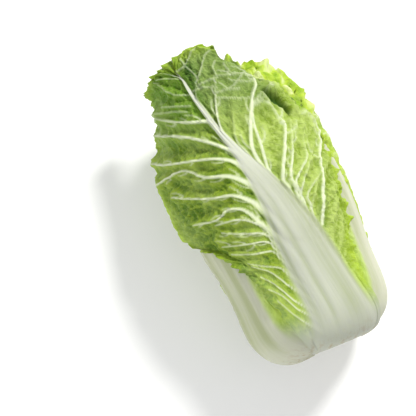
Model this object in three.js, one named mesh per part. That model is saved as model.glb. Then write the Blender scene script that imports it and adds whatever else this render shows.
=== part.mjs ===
// Chinese cabbage, cut and lying on its side. Millimetres, +Z up.
// The axis of the head runs along +Y, from the cut stump to the rounded top, and the front leaf
// faces up. Each leaf is drawn flat, as a rib with a blade on each side of it, and is then wrapped
// round what lies under it: the heart first, then the leaves from the innermost to the outermost.

import * as THREE from 'three';
import { mergeVertices } from 'three/addons/utils/BufferGeometryUtils.js';

const { smoothstep, degToRad, lerp, clamp } = THREE.MathUtils;

// Heart and stump
const HEART_OUTLINE = [
  [27, 17], [43, 18], [54, 27], [59, 46], [60, 85], [60, 130],
  [58, 172], [54, 206], [47, 238], [35, 261], [20, 273], [0, 277],
]; // radius and height, from the stump to the top
const HEART_TOP_FOLD = 4; // depth of the crumpled folds on top of the heart
const HEART_FOLDS = 5; // round the heart
const HEART_FOLD_TWIST = 0.08; // radians that they turn for each step up
const HEART_FOLD_ROWS = [225, 265, 290, 306]; // they grow and then fade between these
const HEART_SLACK = 1.3; // clear space that the flat sides of the leaves' triangles need
const HEART_SLACK_ROWS = [10, 60];
const HEART_COLUMNS = 48;
const HEART_FIRST_ROW = 68; // above the rows of the foot
const HEART_ROW_STEP = 10;
const HEART_CAP = 4; // what is left above the last row
const STUMP_RADIUS = 25.8;
const STUMP_CUT_HEIGHT = 2; // height of the cut face
const STUMP_CHAMFER = 1.5;
const STUMP_GAP = 0.4; // between the stump and the heart

// Leaves: they grow in a spiral, numbered from the outermost inwards
const OUTER_LEAVES = 5;
const INNER_LEAVES = 5;
const SPIRAL_STEP = 146; // degrees from one leaf to the next
const INNER_SPIRAL_SHIFT = 26; // degrees that the second round is turned past the first
const OUTER_LEAF_LENGTH = 292;
const INNER_LEAF_LENGTH = 296;
const FRONT_LEAF_LENGTH = 308;
const BLADE_THICKNESS = 1.1;
const LEAF_GAP = 0.8; // space between a leaf and what it lies on
const CLEARANCE = 0.8; // the least of it, where the leaf's flat triangles sink in
// Each pair below is a distance from the leaf's foot and a size there
const RIB_HALF_WIDTH = [
  [0, 30], [12, 40], [24, 43], [45, 38], [85, 32], [150, 27], [195, 16], [230, 9.5], [264, 5], [300, 2],
];
const RIB_DEPTH = [[0, 3.6], [40, 7], [110, 6.5], [200, 4], [260, 2.2], [330, 0.6]];
const RIB_FOOT_WIDER = 1.08; // the raised part of the rib is this much wider than the rib
const RIB_FULLNESS = 0.7; // 0.5 is a half round rib, 1 is a flatter one
const INNER_RIB = 0.9; // the inner leaves' ribs are this much of the outer ones
const BLADE_WIDTH = [[14, 0], [40, 8], [70, 15], [110, 30], [150, 50], [190, 72], [230, 90], [260, 97]];
const FRONT_LEFT_WIDTH = [
  [14, 0], [41, 18], [75, 29], [98, 38], [131, 65], [156, 100], [200, 106], [250, 91],
];
const FRONT_RIGHT_WIDTH = [
  [24, 2], [62, 9], [91, 22], [117, 41], [141, 48], [198, 84], [230, 104], [262, 108],
];
const FRONT_LEAF_LEAN = [[0, 18], [80, 9], [150, 2], [200, -8], [264, -26], [310, -34]]; // degrees
const WRAP_LAYER = 13; // thickness of leaves that a leaf is drawn round
const CLOSING_START = 0.78; // share of its length where a leaf begins to close to its tip
const CLIMB_START = 0.8; // share of its length where its rows begin to run steeper
const CLOSING_CLIMB = 0.06; // how much steeper they run at the tip, as a share of its length
const TIP_ROUNDNESS = 2.1; // 2 closes a leaf as an ellipse, more is squarer
const FRONT_TIP_ROUNDNESS = 3;
const LAST_ROW = 0.94; // share of its length where the rib ends
const RIB_COLUMNS = 3; // of the mesh, on each side of the middle
const RIB_SHARES = [0.12, 0.86]; // least and most of a row's width that they take
const TIP_RIB_SHARE = 0.3; // what they take of the last row
const ROW_BOW = 0.4; // how much the rows bend on their way from the rib to the edge
const VEIN_STARTS = [75, 90, 106, 123, 142, 162, 184, 207, 231, 255, 278]; // on the rib
const VEIN_RISE = 0.5; // how far a side vein runs forward for each step outward
const FRONT_LEFT_RISE = 0.38;
const FRONT_RIGHT_RISE = 0.6;
const FOOT_ROWS = [0, 8, 17, 27, 40, 57]; // rows of every mesh below the side veins
const VEIN_HEIGHT = 1.1;
const TOOTH = 2.5; // how far the teeth of a leaf's edge stand out
const TOOTH_ROWS = [80, 140]; // they grow between these
const FRILL = 3.5; // height of the waves in an edge that nothing covers
const FRILL_TURN = 1.6; // radians of the wave from one row to the next
const FRILL_ROWS = [90, 150]; // the waves grow between these
const FRILL_ACROSS = [8, 30];
const OPEN_FROM = 200; // the front leaf's end stands away from the head from here on, nearly straight
const OPEN_ROWS = [205, 275]; // where it begins to leave the head, and where it has left
const OPEN_ACROSS = [46, 90]; // its right side stays on the head beyond this
const OPEN_RADIUS = 66;
const OPEN_HEIGHT = 202;
const OPEN_TAPER = 0.24;
const OPEN_LAYER = 14; // height off the heart that it leaves from
const OPEN_CLEAR = 40; // how far it stands off at its end
const OPEN_STRETCH = 1.08;
const LEFT_LIFT = 16; // how far the front leaf's left edge stands off
const LEFT_LIFT_ACROSS = [45, 112];
const LEFT_LIFT_ROWS = [110, 170, 212, 262]; // it grows and then fades between these
const RIGHT_LIFT = 11; // how far its right edge stands off, near the top of the head
const RIGHT_LIFT_ACROSS = [50, 88];
const RIGHT_LIFT_ROWS = [205, 245];

// How the head lies
const TILT = degToRad(1.8); // the top end is raised, so that it rests under its weight
const PRESSED = 2; // depth of the spot that is pressed flat where it rests
const PRESS_PASSES = 6; // how softly the spot's border is rounded
const FLAT_WITHIN = 0.45; // what lies this near the floor is flat on it
const FLAT_BLADE = 0.8; // share of the blade's thickness that is left there

// Grid laid round the heart, for the height of what lies on it
const GRID_ROWS = 112;
const GRID_COLUMNS = 180;
const TAUT_PASSES = 50; // how far a leaf bridges the hollows under it
const CONTACT_ROWS = 2;
const CONTACT_COLUMNS = 2;
const COVER_PASSES = 6; // how soft the border is between what is covered and what is bare
const SETTLE_PASSES = 8;
const SETTLE_SHARE = 0.5; // of the push that is still needed, in each pass
const SETTLE_STEPS = 6; // how finely a triangle is tested against what it lies on

const COLOURS = {
  rib: new THREE.Color('#e9ecdc'),
  blade: new THREE.Color('#9cc455'),
  edge: new THREE.Color('#7fae36'),
  heart: '#d9e08a',
  stump: '#e6ddb8',
};

// A smooth curve through points, with no overshoot between them
function curveThrough(points) {
  const last = points.length - 1;
  const rise = (i) => (points[i + 1][1] - points[i][1]) / (points[i + 1][0] - points[i][0]);
  const slopes = points.map((point, i) => {
    if (i === 0) return rise(0);
    if (i === last) return rise(last - 1);
    const product = rise(i - 1) * rise(i);
    return product > 0 ? (2 * product) / (rise(i - 1) + rise(i)) : 0;
  });
  return (x) => {
    if (x <= points[0][0]) return points[0][1];
    if (x >= points[last][0]) return points[last][1];
    const i = points.findIndex((point, n) => x < points[n + 1][0]);
    const span = points[i + 1][0] - points[i][0];
    const t = (x - points[i][0]) / span;
    const bend = span * t * (1 - t) * (slopes[i] * (1 - t) - slopes[i + 1] * t);
    return lerp(points[i][1], points[i + 1][1], t * t * (3 - 2 * t)) + bend;
  };
}

const ribHalfWidth = curveThrough(RIB_HALF_WIDTH);
const ribDepth = curveThrough(RIB_DEPTH);
const frontLeafLean = curveThrough(FRONT_LEAF_LEAN);

// Outline of the heart as evenly spaced stations, each with its normal
const outlinePoints = HEART_OUTLINE.map(([radius, height]) => new THREE.Vector2(radius, height));
const outline = new THREE.SplineCurve(outlinePoints);
const bodyLength = outline.getLength();
const stations = outline.getSpacedPoints(GRID_ROWS).map((point) => ({ radius: point.x, height: point.y }));
stations.forEach((station, row) => {
  const before = stations[Math.max(row - 1, 0)];
  const after = stations[Math.min(row + 1, GRID_ROWS)];
  const run = Math.hypot(after.radius - before.radius, after.height - before.height);
  station.outward = (after.height - before.height) / run;
  station.along = -(after.radius - before.radius) / run;
});
stations.forEach((station, row) => {
  const before = stations[Math.max(row - 2, 0)];
  const after = stations[Math.min(row + 2, GRID_ROWS)];
  const run = Math.hypot(after.radius - before.radius, after.height - before.height);
  station.bend = Math.hypot(after.outward - before.outward, after.along - before.along) / run;
});

// The radius that a leaf is wrapped on: it grows with the head and isn't gathered in at the top
let widest = 0;
const wrapRadii = stations.map((station) => {
  widest = Math.max(widest, station.radius + WRAP_LAYER * station.outward);
  return widest;
});

function rowAt(y) {
  return clamp((y / bodyLength) * GRID_ROWS, 0, GRID_ROWS);
}

function between(list, y, read) {
  const row = Math.min(Math.floor(rowAt(y)), GRID_ROWS - 1);
  return lerp(read(list[row]), read(list[row + 1]), rowAt(y) - row);
}

const wrapRadius = (y) => between(wrapRadii, y, (value) => value);

// Radius, height and direction of the body's surface at a distance y along its outline
function bodyProfile(y) {
  return {
    radius: between(stations, y, (station) => station.radius),
    height: between(stations, y, (station) => station.height),
    outward: between(stations, y, (station) => station.outward),
    along: between(stations, y, (station) => station.along),
  };
}

// The front leaf's end leaves the body and runs on nearly straight
function openProfile(y) {
  return {
    radius: OPEN_RADIUS - OPEN_TAPER * (y - OPEN_FROM),
    height: OPEN_HEIGHT + OPEN_STRETCH * (y - OPEN_FROM),
    outward: 1,
    along: OPEN_TAPER,
  };
}

// A point at height h off the body, in the frame of the tilted head
function pointAt(y, angle, h, opening = 0) {
  const wrapped = bodyProfile(y);
  const open = openProfile(y);
  const blend = (key) => lerp(wrapped[key], open[key], opening);
  const radius = blend('radius') + h * blend('outward');
  const height = blend('height') + h * blend('along');
  const upright = new THREE.Vector3(radius * Math.sin(angle), height, radius * Math.cos(angle));
  return upright.applyAxisAngle(new THREE.Vector3(1, 0, 0), TILT);
}

// Fields: one number for each cell of the grid round the heart
function makeField() {
  return new Float32Array((GRID_ROWS + 1) * GRID_COLUMNS);
}

function cell(row, column) {
  return clamp(row, 0, GRID_ROWS) * GRID_COLUMNS + ((column % GRID_COLUMNS) + GRID_COLUMNS) % GRID_COLUMNS;
}

function columnAt(angle) {
  return (angle / (2 * Math.PI)) * GRID_COLUMNS;
}

function readField(field, y, angle) {
  const row = Math.min(Math.floor(rowAt(y)), GRID_ROWS - 1);
  const column = Math.floor(columnAt(angle));
  const across = columnAt(angle) - column;
  const low = lerp(field[cell(row, column)], field[cell(row, column + 1)], across);
  const high = lerp(field[cell(row + 1, column)], field[cell(row + 1, column + 1)], across);
  return lerp(low, high, rowAt(y) - row);
}

function mapField(field, work) {
  const result = makeField();
  for (let row = 0; row <= GRID_ROWS; row++) {
    for (let column = 0; column < GRID_COLUMNS; column++) {
      result[cell(row, column)] = work(field, row, column);
    }
  }
  return result;
}

function spreadField(field, rows, columns) {
  const alongRows = mapField(field, (from, row, column) => {
    let most = -Infinity;
    for (let n = -rows; n <= rows; n++) most = Math.max(most, from[cell(row + n, column)]);
    return most;
  });
  return mapField(alongRows, (from, row, column) => {
    let most = -Infinity;
    for (let n = -columns; n <= columns; n++) most = Math.max(most, from[cell(row, column + n)]);
    return most;
  });
}

function softenField(field) {
  const alongRows = mapField(field, (from, row, column) => (
    0.25 * from[cell(row - 1, column)] + 0.5 * from[cell(row, column)] + 0.25 * from[cell(row + 1, column)]
  ));
  return mapField(alongRows, (from, row, column) => (
    0.25 * from[cell(row, column - 1)] + 0.5 * from[cell(row, column)] + 0.25 * from[cell(row, column + 1)]
  ));
}

// Calls work for each cell of the grid inside a triangle, with the shares of its three corners
function eachCell(corners, work) {
  const [a, b, c] = corners.map(({ y, angle }) => ({ row: rowAt(y), column: columnAt(angle) }));
  const area = (b.row - a.row) * (c.column - a.column) - (c.row - a.row) * (b.column - a.column);
  if (Math.abs(area) < 1e-9) return;
  const rows = [a.row, b.row, c.row];
  const columns = [a.column, b.column, c.column];
  for (let row = Math.ceil(Math.min(...rows)); row <= Math.max(...rows); row++) {
    for (let column = Math.ceil(Math.min(...columns)); column <= Math.max(...columns); column++) {
      const shareB = ((row - a.row) * (c.column - a.column) - (c.row - a.row) * (column - a.column)) / area;
      const shareC = ((b.row - a.row) * (column - a.column) - (row - a.row) * (b.column - a.column)) / area;
      const shares = [1 - shareB - shareC, shareB, shareC];
      if (Math.min(...shares) >= 0) work(row, column, shares);
    }
  }
}

function mixOf(corners, shares, read) {
  return corners.reduce((sum, corner, n) => sum + shares[n] * read(corner), 0);
}

// The surface of a leaf that lies on a field: taut over the hollows, clear of every high spot
function restingOn(field) {
  const contact = spreadField(field, CONTACT_ROWS, CONTACT_COLUMNS).map((value) => value + LEAF_GAP);
  let rest = contact;
  for (let pass = 0; pass < TAUT_PASSES; pass++) {
    rest = softenField(rest).map((value, i) => Math.max(value, contact[i]));
  }
  return rest;
}

// What sets one leaf apart from the next. Order 0 is the front leaf, the outermost.
function describeLeaf(order) {
  const front = order === 0;
  const outer = order < OUTER_LEAVES;
  const angle = SPIRAL_STEP * order + (outer ? 0 : INNER_SPIRAL_SHIFT);
  const outerLength = front ? FRONT_LEAF_LENGTH : OUTER_LEAF_LENGTH;
  return {
    front,
    name: outer ? `outer_leaf_${order + 1}` : `inner_leaf_${order - OUTER_LEAVES + 1}`,
    length: outer ? outerLength : INNER_LEAF_LENGTH,
    ribScale: outer ? 1 : INNER_RIB,
    leftWidth: curveThrough(front ? FRONT_LEFT_WIDTH : BLADE_WIDTH),
    rightWidth: curveThrough(front ? FRONT_RIGHT_WIDTH : BLADE_WIDTH),
    leftRise: front ? FRONT_LEFT_RISE : VEIN_RISE,
    rightRise: front ? FRONT_RIGHT_RISE : VEIN_RISE,
    middleAngle: (y) => degToRad(front ? frontLeafLean(y) : angle),
    veinRows: outer ? 1 : 2,
    bladeColumns: outer ? 4 : 3,
  };
}

function halfWidth(leaf, side, y) {
  const closing = CLOSING_START * leaf.length;
  const widthOf = side < 0 ? leaf.leftWidth : leaf.rightWidth;
  const held = Math.min(y, closing);
  const full = leaf.ribScale * ribHalfWidth(held) + widthOf(held);
  const past = Math.max(0, (y - closing) / (leaf.length - closing));
  const power = leaf.front ? FRONT_TIP_ROUNDNESS : TIP_ROUNDNESS;
  return full * Math.max(0, 1 - past ** power) ** (1 / power);
}

// Where the side vein that starts at each place on the rib meets the edge of the leaf
function edgeTable(leaf, side) {
  const steps = 400;
  const rise = side < 0 ? leaf.leftRise : leaf.rightRise;
  const table = [];
  let start = -1;
  for (let n = 0; n <= steps; n++) {
    const y = leaf.length * Math.sin((Math.PI / 2) * (n / steps));
    const x = halfWidth(leaf, side, y);
    const reach = Math.max(0, x - leaf.ribScale * ribHalfWidth(y));
    const closing = CLOSING_CLIMB * leaf.length * smoothstep(y / leaf.length, CLIMB_START, 1);
    start = Math.max(start + 1e-3, y - rise * reach - closing);
    table.push({ start, x, y });
  }
  return table;
}

function edgePoint(table, start) {
  const next = Math.max(1, table.findIndex((entry) => entry.start >= start));
  const [before, after] = [table[next - 1], table[next]];
  const share = clamp((start - before.start) / (after.start - before.start), 0, 1);
  return { x: lerp(before.x, after.x, share), y: lerp(before.y, after.y, share) };
}

// Rows of the leaf's mesh: plain ones at the foot, then one on each side vein and between them
function leafRows(leaf) {
  const scale = leaf.length / FRONT_LEAF_LENGTH;
  const rows = FOOT_ROWS.map((start) => ({ start, vein: 0 }));
  VEIN_STARTS.filter((start, n) => n % leaf.veinRows === 0).forEach((start, n, all) => {
    const following = n + 1 < all.length ? all[n + 1] : start + 15;
    rows.push({ start: start * scale, vein: 1 });
    rows.push({ start: lerp(start, following, 0.5) * scale, vein: 0 });
  });
  rows.push({ start: LAST_ROW * leaf.length, vein: 0 });
  return rows;
}

// One half of a leaf, drawn flat: rows that follow the side veins, columns from the rib to the edge
function drawHalf(leaf, side) {
  const table = edgeTable(leaf, side);
  const rows = leafRows(leaf);
  return rows.map(({ start, vein }, row) => {
    const last = row === rows.length - 1;
    const edge = last ? { x: 0, y: leaf.length } : edgePoint(table, start);
    const ribWidth = leaf.ribScale * ribHalfWidth(start);
    const ribShare = last ? TIP_RIB_SHARE : clamp(ribWidth / edge.x, ...RIB_SHARES);
    const shares = [];
    for (let n = 0; n < RIB_COLUMNS; n++) shares.push(ribShare * (n / RIB_COLUMNS));
    for (let n = 0; n <= leaf.bladeColumns; n++) shares.push(lerp(ribShare, 1, n / leaf.bladeColumns));
    return shares.map((share, column) => {
      const atEdge = column === shares.length - 1 && !last;
      const tooth = atEdge ? TOOTH * (row % 2 ? -1 : 1) * smoothstep(edge.y, ...TOOTH_ROWS) : 0;
      const x = edge.x * share + tooth;
      const y = start + (edge.y - start) * ((1 + ROW_BOW) * share - ROW_BOW * share * share);
      const bladeShare = clamp((share - ribShare) / (1 - ribShare), 0, 1);
      return { x: side * x, y, row, vein, bladeShare };
    });
  });
}

// Both halves of a leaf. They share the vertices on the middle of the rib and beyond its end.
function drawLeaf(leaf) {
  const [left, right] = [drawHalf(leaf, -1), drawHalf(leaf, 1)];
  right.forEach((row, n) => {
    row[0] = left[n][0];
  });
  right[right.length - 1] = left[left.length - 1];
  for (const vertex of [left, right].flat(2)) {
    vertex.angle = leaf.middleAngle(vertex.y) + vertex.x / wrapRadius(vertex.y);
  }
  return [left, right];
}

// How far the front leaf has left the body, 0 to 1
function openingOf(leaf, x, y) {
  return leaf.front ? smoothstep(y, ...OPEN_ROWS) * (1 - smoothstep(x, ...OPEN_ACROSS)) : 0;
}

function liftOf(leaf, x, y) {
  if (!leaf.front) return 0;
  if (x > 0) return RIGHT_LIFT * smoothstep(x, ...RIGHT_LIFT_ACROSS) * smoothstep(y, ...RIGHT_LIFT_ROWS);
  const [rise, top, fall, end] = LEFT_LIFT_ROWS;
  const along = smoothstep(y, rise, top) * (1 - smoothstep(y, fall, end));
  return LEFT_LIFT * smoothstep(-x, ...LEFT_LIFT_ACROSS) * along;
}

// Waves of an edge that nothing covers
function frillOf(vertex, bare) {
  const { x, y, row, bladeShare } = vertex;
  const wave = 0.5 + 0.5 * Math.sin(row * FRILL_TURN + (x > 0 ? 1 : 0));
  const room = bladeShare ** 3 * smoothstep(y, ...FRILL_ROWS) * smoothstep(Math.abs(x), ...FRILL_ACROSS);
  return FRILL * bare * wave * room;
}

// Wraps a flat leaf round the head: each vertex gets its angle and its inner and outer heights
function wrapLeaf(leaf, surface, covered) {
  const rest = restingOn(surface);
  for (const vertex of leaf.halves.flat(2)) {
    const { x, y, vein, bladeShare } = vertex;
    const across = clamp(Math.abs(x) / (RIB_FOOT_WIDER * leaf.ribScale * ribHalfWidth(y)), 0, 1);
    vertex.rib = (1 - across * across) ** RIB_FULLNESS;
    const bare = 1 - readField(covered, y, vertex.angle);
    const veinHeight = VEIN_HEIGHT * vein * smoothstep(bladeShare, 0, 0.1) * (1 - bladeShare);
    vertex.opening = openingOf(leaf, x, y);
    const layer = lerp(readField(rest, y, vertex.angle), OPEN_LAYER, vertex.opening);
    vertex.inner = layer + frillOf(vertex, bare) + liftOf(leaf, x, y);
    vertex.outer = vertex.inner + BLADE_THICKNESS + ribDepth(y) * leaf.ribScale * vertex.rib + veinHeight;
  }
}

// Calls work with the three corners of each triangle of one face of a half leaf
function eachTriangle(half, work) {
  for (let row = 0; row + 1 < half.length; row++) {
    for (let column = 0; column + 1 < half[row].length; column++) {
      const [a, b] = [half[row][column], half[row][column + 1]];
      const [c, d] = [half[row + 1][column + 1], half[row + 1][column]];
      work(a, b, c);
      work(a, c, d);
    }
  }
}

// Raises a field to the outer face of a leaf, or to any other value of its vertices
function stampLeaf(field, halves, valueOf) {
  for (const half of halves) {
    eachTriangle(half, (...corners) => {
      eachCell(corners, (row, column, shares) => {
        const at = cell(row, column);
        field[at] = Math.max(field[at], mixOf(corners, shares, valueOf));
      });
    });
  }
}

// Shares of the three corners at evenly spaced places in a triangle, its sides included
const PLACES = [];
for (let b = 0; b <= SETTLE_STEPS; b++) {
  for (let c = 0; b + c <= SETTLE_STEPS; c++) {
    PLACES.push([SETTLE_STEPS - b - c, b, c].map((count) => count / SETTLE_STEPS));
  }
}

// How far a flat triangle lies below a surface: it also sinks below the round body between its corners,
// but not along the foot, where the triangles of all leaves lie in the same rows
function shortfall(corners, shares, surface) {
  const y = mixOf(corners, shares, (corner) => corner.y);
  const angle = mixOf(corners, shares, (corner) => corner.angle);
  const station = stations[Math.round(rowAt(y))];
  const around = (station.radius + WRAP_LAYER) * Math.max(0, station.outward);
  const bend = y > FOOT_ROWS.at(-1) ? station.bend : 0;
  const sink = mixOf(corners, shares, (corner) => (
    0.5 * (around * (corner.angle - angle) ** 2 + bend * (corner.y - y) ** 2)
  ));
  const above = mixOf(corners, shares, (corner) => corner.inner + OPEN_CLEAR * corner.opening ** 2);
  return readField(surface, y, angle) + CLEARANCE + sink - above;
}

// Pushes a wrapped leaf out wherever its inner face would come too near what it lies on
function settleLeaf(halves, surface) {
  for (let pass = 0; pass < SETTLE_PASSES; pass++) {
    for (const half of halves) {
      eachTriangle(half, (...corners) => {
        const short = Math.max(0, ...PLACES.map((shares) => shortfall(corners, shares, surface)));
        for (const corner of corners) {
          corner.inner += SETTLE_SHARE * short;
          corner.outer += SETTLE_SHARE * short;
        }
      });
    }
  }
}

// Where any of the given leaves covers the head, with soft edges
function coverOf(leaves) {
  const cover = makeField();
  for (const leaf of leaves) stampLeaf(cover, leaf.halves, () => 1);
  let soft = spreadField(cover, CONTACT_ROWS, CONTACT_COLUMNS);
  for (let pass = 0; pass < COVER_PASSES; pass++) soft = softenField(soft);
  return soft;
}

// The whole head is pressed in where it rests: how far, at each place of the grid
function pressField(surface) {
  const heightOf = mapField(surface, (from, row, column) => {
    const y = (row / GRID_ROWS) * bodyLength;
    return pointAt(y, (column / GRID_COLUMNS) * 2 * Math.PI, from[cell(row, column)]).z;
  });
  const floor = heightOf.reduce((low, value) => Math.min(low, value), Infinity) + PRESSED;
  let depth = heightOf.map((value) => Math.max(0, floor - value));
  for (let pass = 0; pass < PRESS_PASSES; pass++) depth = softenField(depth);
  return { floor, depth };
}

function pressedPointAt(y, angle, h, press, opening = 0) {
  return pointAt(y, angle, h - readField(press.depth, y, angle), opening);
}

// A closed mesh from corner points, three for each triangle
function closedGeometry(triangles) {
  const positions = new Float32Array(triangles.flatMap((corner) => corner.point.toArray()));
  const colours = new Float32Array(triangles.flatMap((corner) => corner.colour.toArray()));
  const geometry = new THREE.BufferGeometry();
  geometry.setAttribute('position', new THREE.BufferAttribute(positions, 3));
  geometry.setAttribute('color', new THREE.BufferAttribute(colours, 3));
  const merged = mergeVertices(geometry, 1e-4);
  merged.computeVertexNormals();
  return merged;
}

function leafColour(vertex) {
  const green = COLOURS.blade.clone().lerp(COLOURS.edge, vertex.bladeShare);
  return green.lerp(COLOURS.rib, smoothstep(vertex.rib, 0, 0.35));
}

// The solid leaf: an outer and an inner face split alike, closed along the edge and the foot
function leafMesh(leaf, press) {
  const triangles = [];
  const corner = (vertex, face) => {
    const point = pressedPointAt(vertex.y, vertex.angle, vertex[face], press, vertex.opening);
    const least = press.floor + (face === 'outer' ? 0 : FLAT_BLADE * BLADE_THICKNESS);
    const reach = face === 'outer' ? FLAT_WITHIN : 0;
    if (point.z < least + reach) point.z = least;
    return { point, colour: leafColour(vertex) };
  };
  const push = (side, corners) => triangles.push(...(side > 0 ? corners : corners.reverse()));
  leaf.halves.forEach((half, n) => {
    const side = n === 0 ? -1 : 1;
    eachTriangle(half, (a, b, c) => {
      push(side, [a, b, c].map((vertex) => corner(vertex, 'outer')));
      push(-side, [a, b, c].map((vertex) => corner(vertex, 'inner')));
    });
    const edge = half.map((row) => row[row.length - 1]);
    const foot = half[0];
    const wall = (line, turn) => {
      for (let i = 0; i + 1 < line.length; i++) {
        const [a, b] = [corner(line[i], 'outer'), corner(line[i], 'inner')];
        const [c, d] = [corner(line[i + 1], 'inner'), corner(line[i + 1], 'outer')];
        push(turn, [a, b, c]);
        push(turn, [a, c, d]);
      }
    };
    wall(edge, side);
    wall(foot, side);
  });
  const material = new THREE.MeshStandardMaterial({ vertexColors: true, roughness: 0.55, metalness: 0 });
  const mesh = new THREE.Mesh(closedGeometry(triangles), material);
  mesh.name = leaf.name;
  return mesh;
}

// Folds on top of the heart, where its own leaves close over each other
function heartRelief(y, angle) {
  const [rise, top, fall, end] = HEART_FOLD_ROWS;
  const near = smoothstep(y, rise, top) * (1 - smoothstep(y, fall, end));
  const wave = 0.5 + 0.5 * Math.sin(HEART_FOLDS * angle + HEART_FOLD_TWIST * y);
  return -HEART_TOP_FOLD * near * wave - HEART_SLACK * smoothstep(y, ...HEART_SLACK_ROWS);
}

function heartMesh(press) {
  const starts = [...FOOT_ROWS];
  for (let y = HEART_FIRST_ROW; y < bodyLength - HEART_CAP; y += HEART_ROW_STEP) starts.push(y);
  const rings = starts.map((y) => {
    const ring = [];
    for (let n = 0; n < HEART_COLUMNS; n++) {
      const angle = (n / HEART_COLUMNS) * 2 * Math.PI;
      ring.push(pressedPointAt(y, angle, heartRelief(y, angle), press));
    }
    return ring;
  });
  const colour = new THREE.Color(COLOURS.heart);
  const foot = pointAt(0, 0, 0).add(pointAt(0, Math.PI, 0)).multiplyScalar(0.5);
  const top = pressedPointAt(bodyLength, 0, 0, press);
  const triangles = [];
  const push = (...points) => triangles.push(...points.map((point) => ({ point, colour })));
  for (let n = 0; n < HEART_COLUMNS; n++) {
    const next = (n + 1) % HEART_COLUMNS;
    push(foot, rings[0][next], rings[0][n]);
    rings.slice(1).forEach((ring, i) => {
      push(rings[i][n], rings[i][next], ring[next]);
      push(rings[i][n], ring[next], ring[n]);
    });
    push(rings.at(-1)[n], rings.at(-1)[next], top);
  }
  const material = new THREE.MeshStandardMaterial({ color: COLOURS.heart, roughness: 0.55, metalness: 0 });
  const mesh = new THREE.Mesh(closedGeometry(triangles), material);
  mesh.name = 'heart';
  return mesh;
}

function stumpMesh() {
  const top = stations[0].height - STUMP_GAP;
  const profile = [
    [0, STUMP_CUT_HEIGHT], [STUMP_RADIUS - STUMP_CHAMFER, STUMP_CUT_HEIGHT],
    [STUMP_RADIUS, STUMP_CUT_HEIGHT + STUMP_CHAMFER], [STUMP_RADIUS, top], [0, top],
  ].map(([radius, height]) => new THREE.Vector2(radius, height));
  const material = new THREE.MeshStandardMaterial({ color: COLOURS.stump, roughness: 0.7, metalness: 0 });
  const mesh = new THREE.Mesh(new THREE.LatheGeometry(profile, HEART_COLUMNS), material);
  mesh.rotation.x = TILT;
  mesh.name = 'stump';
  return mesh;
}

// The leaves are wrapped from the innermost outwards, and each raises the surface for the next
const leaves = [];
for (let order = 0; order < OUTER_LEAVES + INNER_LEAVES; order++) {
  const leaf = describeLeaf(order);
  leaf.halves = drawLeaf(leaf);
  leaves.push(leaf);
}
const surface = makeField();
for (let order = leaves.length - 1; order >= 0; order--) {
  const leaf = leaves[order];
  wrapLeaf(leaf, surface, coverOf(leaves.slice(0, order)));
  settleLeaf(leaf.halves, spreadField(surface, CONTACT_ROWS, CONTACT_COLUMNS));
  stampLeaf(surface, leaf.halves, (vertex) => vertex.outer);
}

const press = pressField(surface);
const cabbage = new THREE.Group();
cabbage.name = 'chinese_cabbage';
cabbage.add(stumpMesh(), heartMesh(press), ...leaves.map((leaf) => leafMesh(leaf, press)));

// The origin is on the surface that the head rests on, under the middle of its outer box
const box = new THREE.Box3().setFromObject(cabbage, true);
const middle = box.getCenter(new THREE.Vector3());
cabbage.position.set(-middle.x, -middle.y, -press.floor);
cabbage.updateMatrixWorld(true);

export default cabbage;
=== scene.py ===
"""A head of Chinese cabbage lying on its side, with its wide front leaf facing up.

Each leaf is drawn flat first, in millimetres: x runs across it from the middle of its rib and y along
it from its foot. Side -1 is its left half and side 1 its right half. It is then laid on the leaf of the
frame that it stands for, whose height over the heart is measured with rays, and gets its rib, veins,
crinkles and frilled edge as relief.
"""

import math

import bmesh
import bpy
import numpy as np
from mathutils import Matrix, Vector
from mathutils.bvhtree import BVHTree


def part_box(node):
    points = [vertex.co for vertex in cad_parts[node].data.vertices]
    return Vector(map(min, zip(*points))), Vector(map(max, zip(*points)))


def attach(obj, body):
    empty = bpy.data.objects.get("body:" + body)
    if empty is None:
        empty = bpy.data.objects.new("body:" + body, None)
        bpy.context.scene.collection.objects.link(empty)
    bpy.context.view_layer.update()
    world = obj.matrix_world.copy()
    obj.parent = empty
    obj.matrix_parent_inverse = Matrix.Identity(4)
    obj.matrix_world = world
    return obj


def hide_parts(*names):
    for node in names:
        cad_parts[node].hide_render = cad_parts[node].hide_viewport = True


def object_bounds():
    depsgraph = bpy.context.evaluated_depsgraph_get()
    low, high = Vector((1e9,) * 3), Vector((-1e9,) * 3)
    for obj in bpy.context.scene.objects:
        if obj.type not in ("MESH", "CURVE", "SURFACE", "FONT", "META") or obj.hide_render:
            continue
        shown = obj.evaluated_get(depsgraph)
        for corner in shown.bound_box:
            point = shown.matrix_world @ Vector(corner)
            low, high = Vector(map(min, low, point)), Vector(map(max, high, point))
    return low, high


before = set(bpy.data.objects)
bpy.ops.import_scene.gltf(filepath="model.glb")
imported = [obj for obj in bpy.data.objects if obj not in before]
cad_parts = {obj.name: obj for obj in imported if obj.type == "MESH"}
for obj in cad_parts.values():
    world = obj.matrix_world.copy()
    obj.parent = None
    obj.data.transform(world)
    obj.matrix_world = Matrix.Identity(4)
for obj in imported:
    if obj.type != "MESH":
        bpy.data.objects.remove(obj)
start_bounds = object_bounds()

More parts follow.
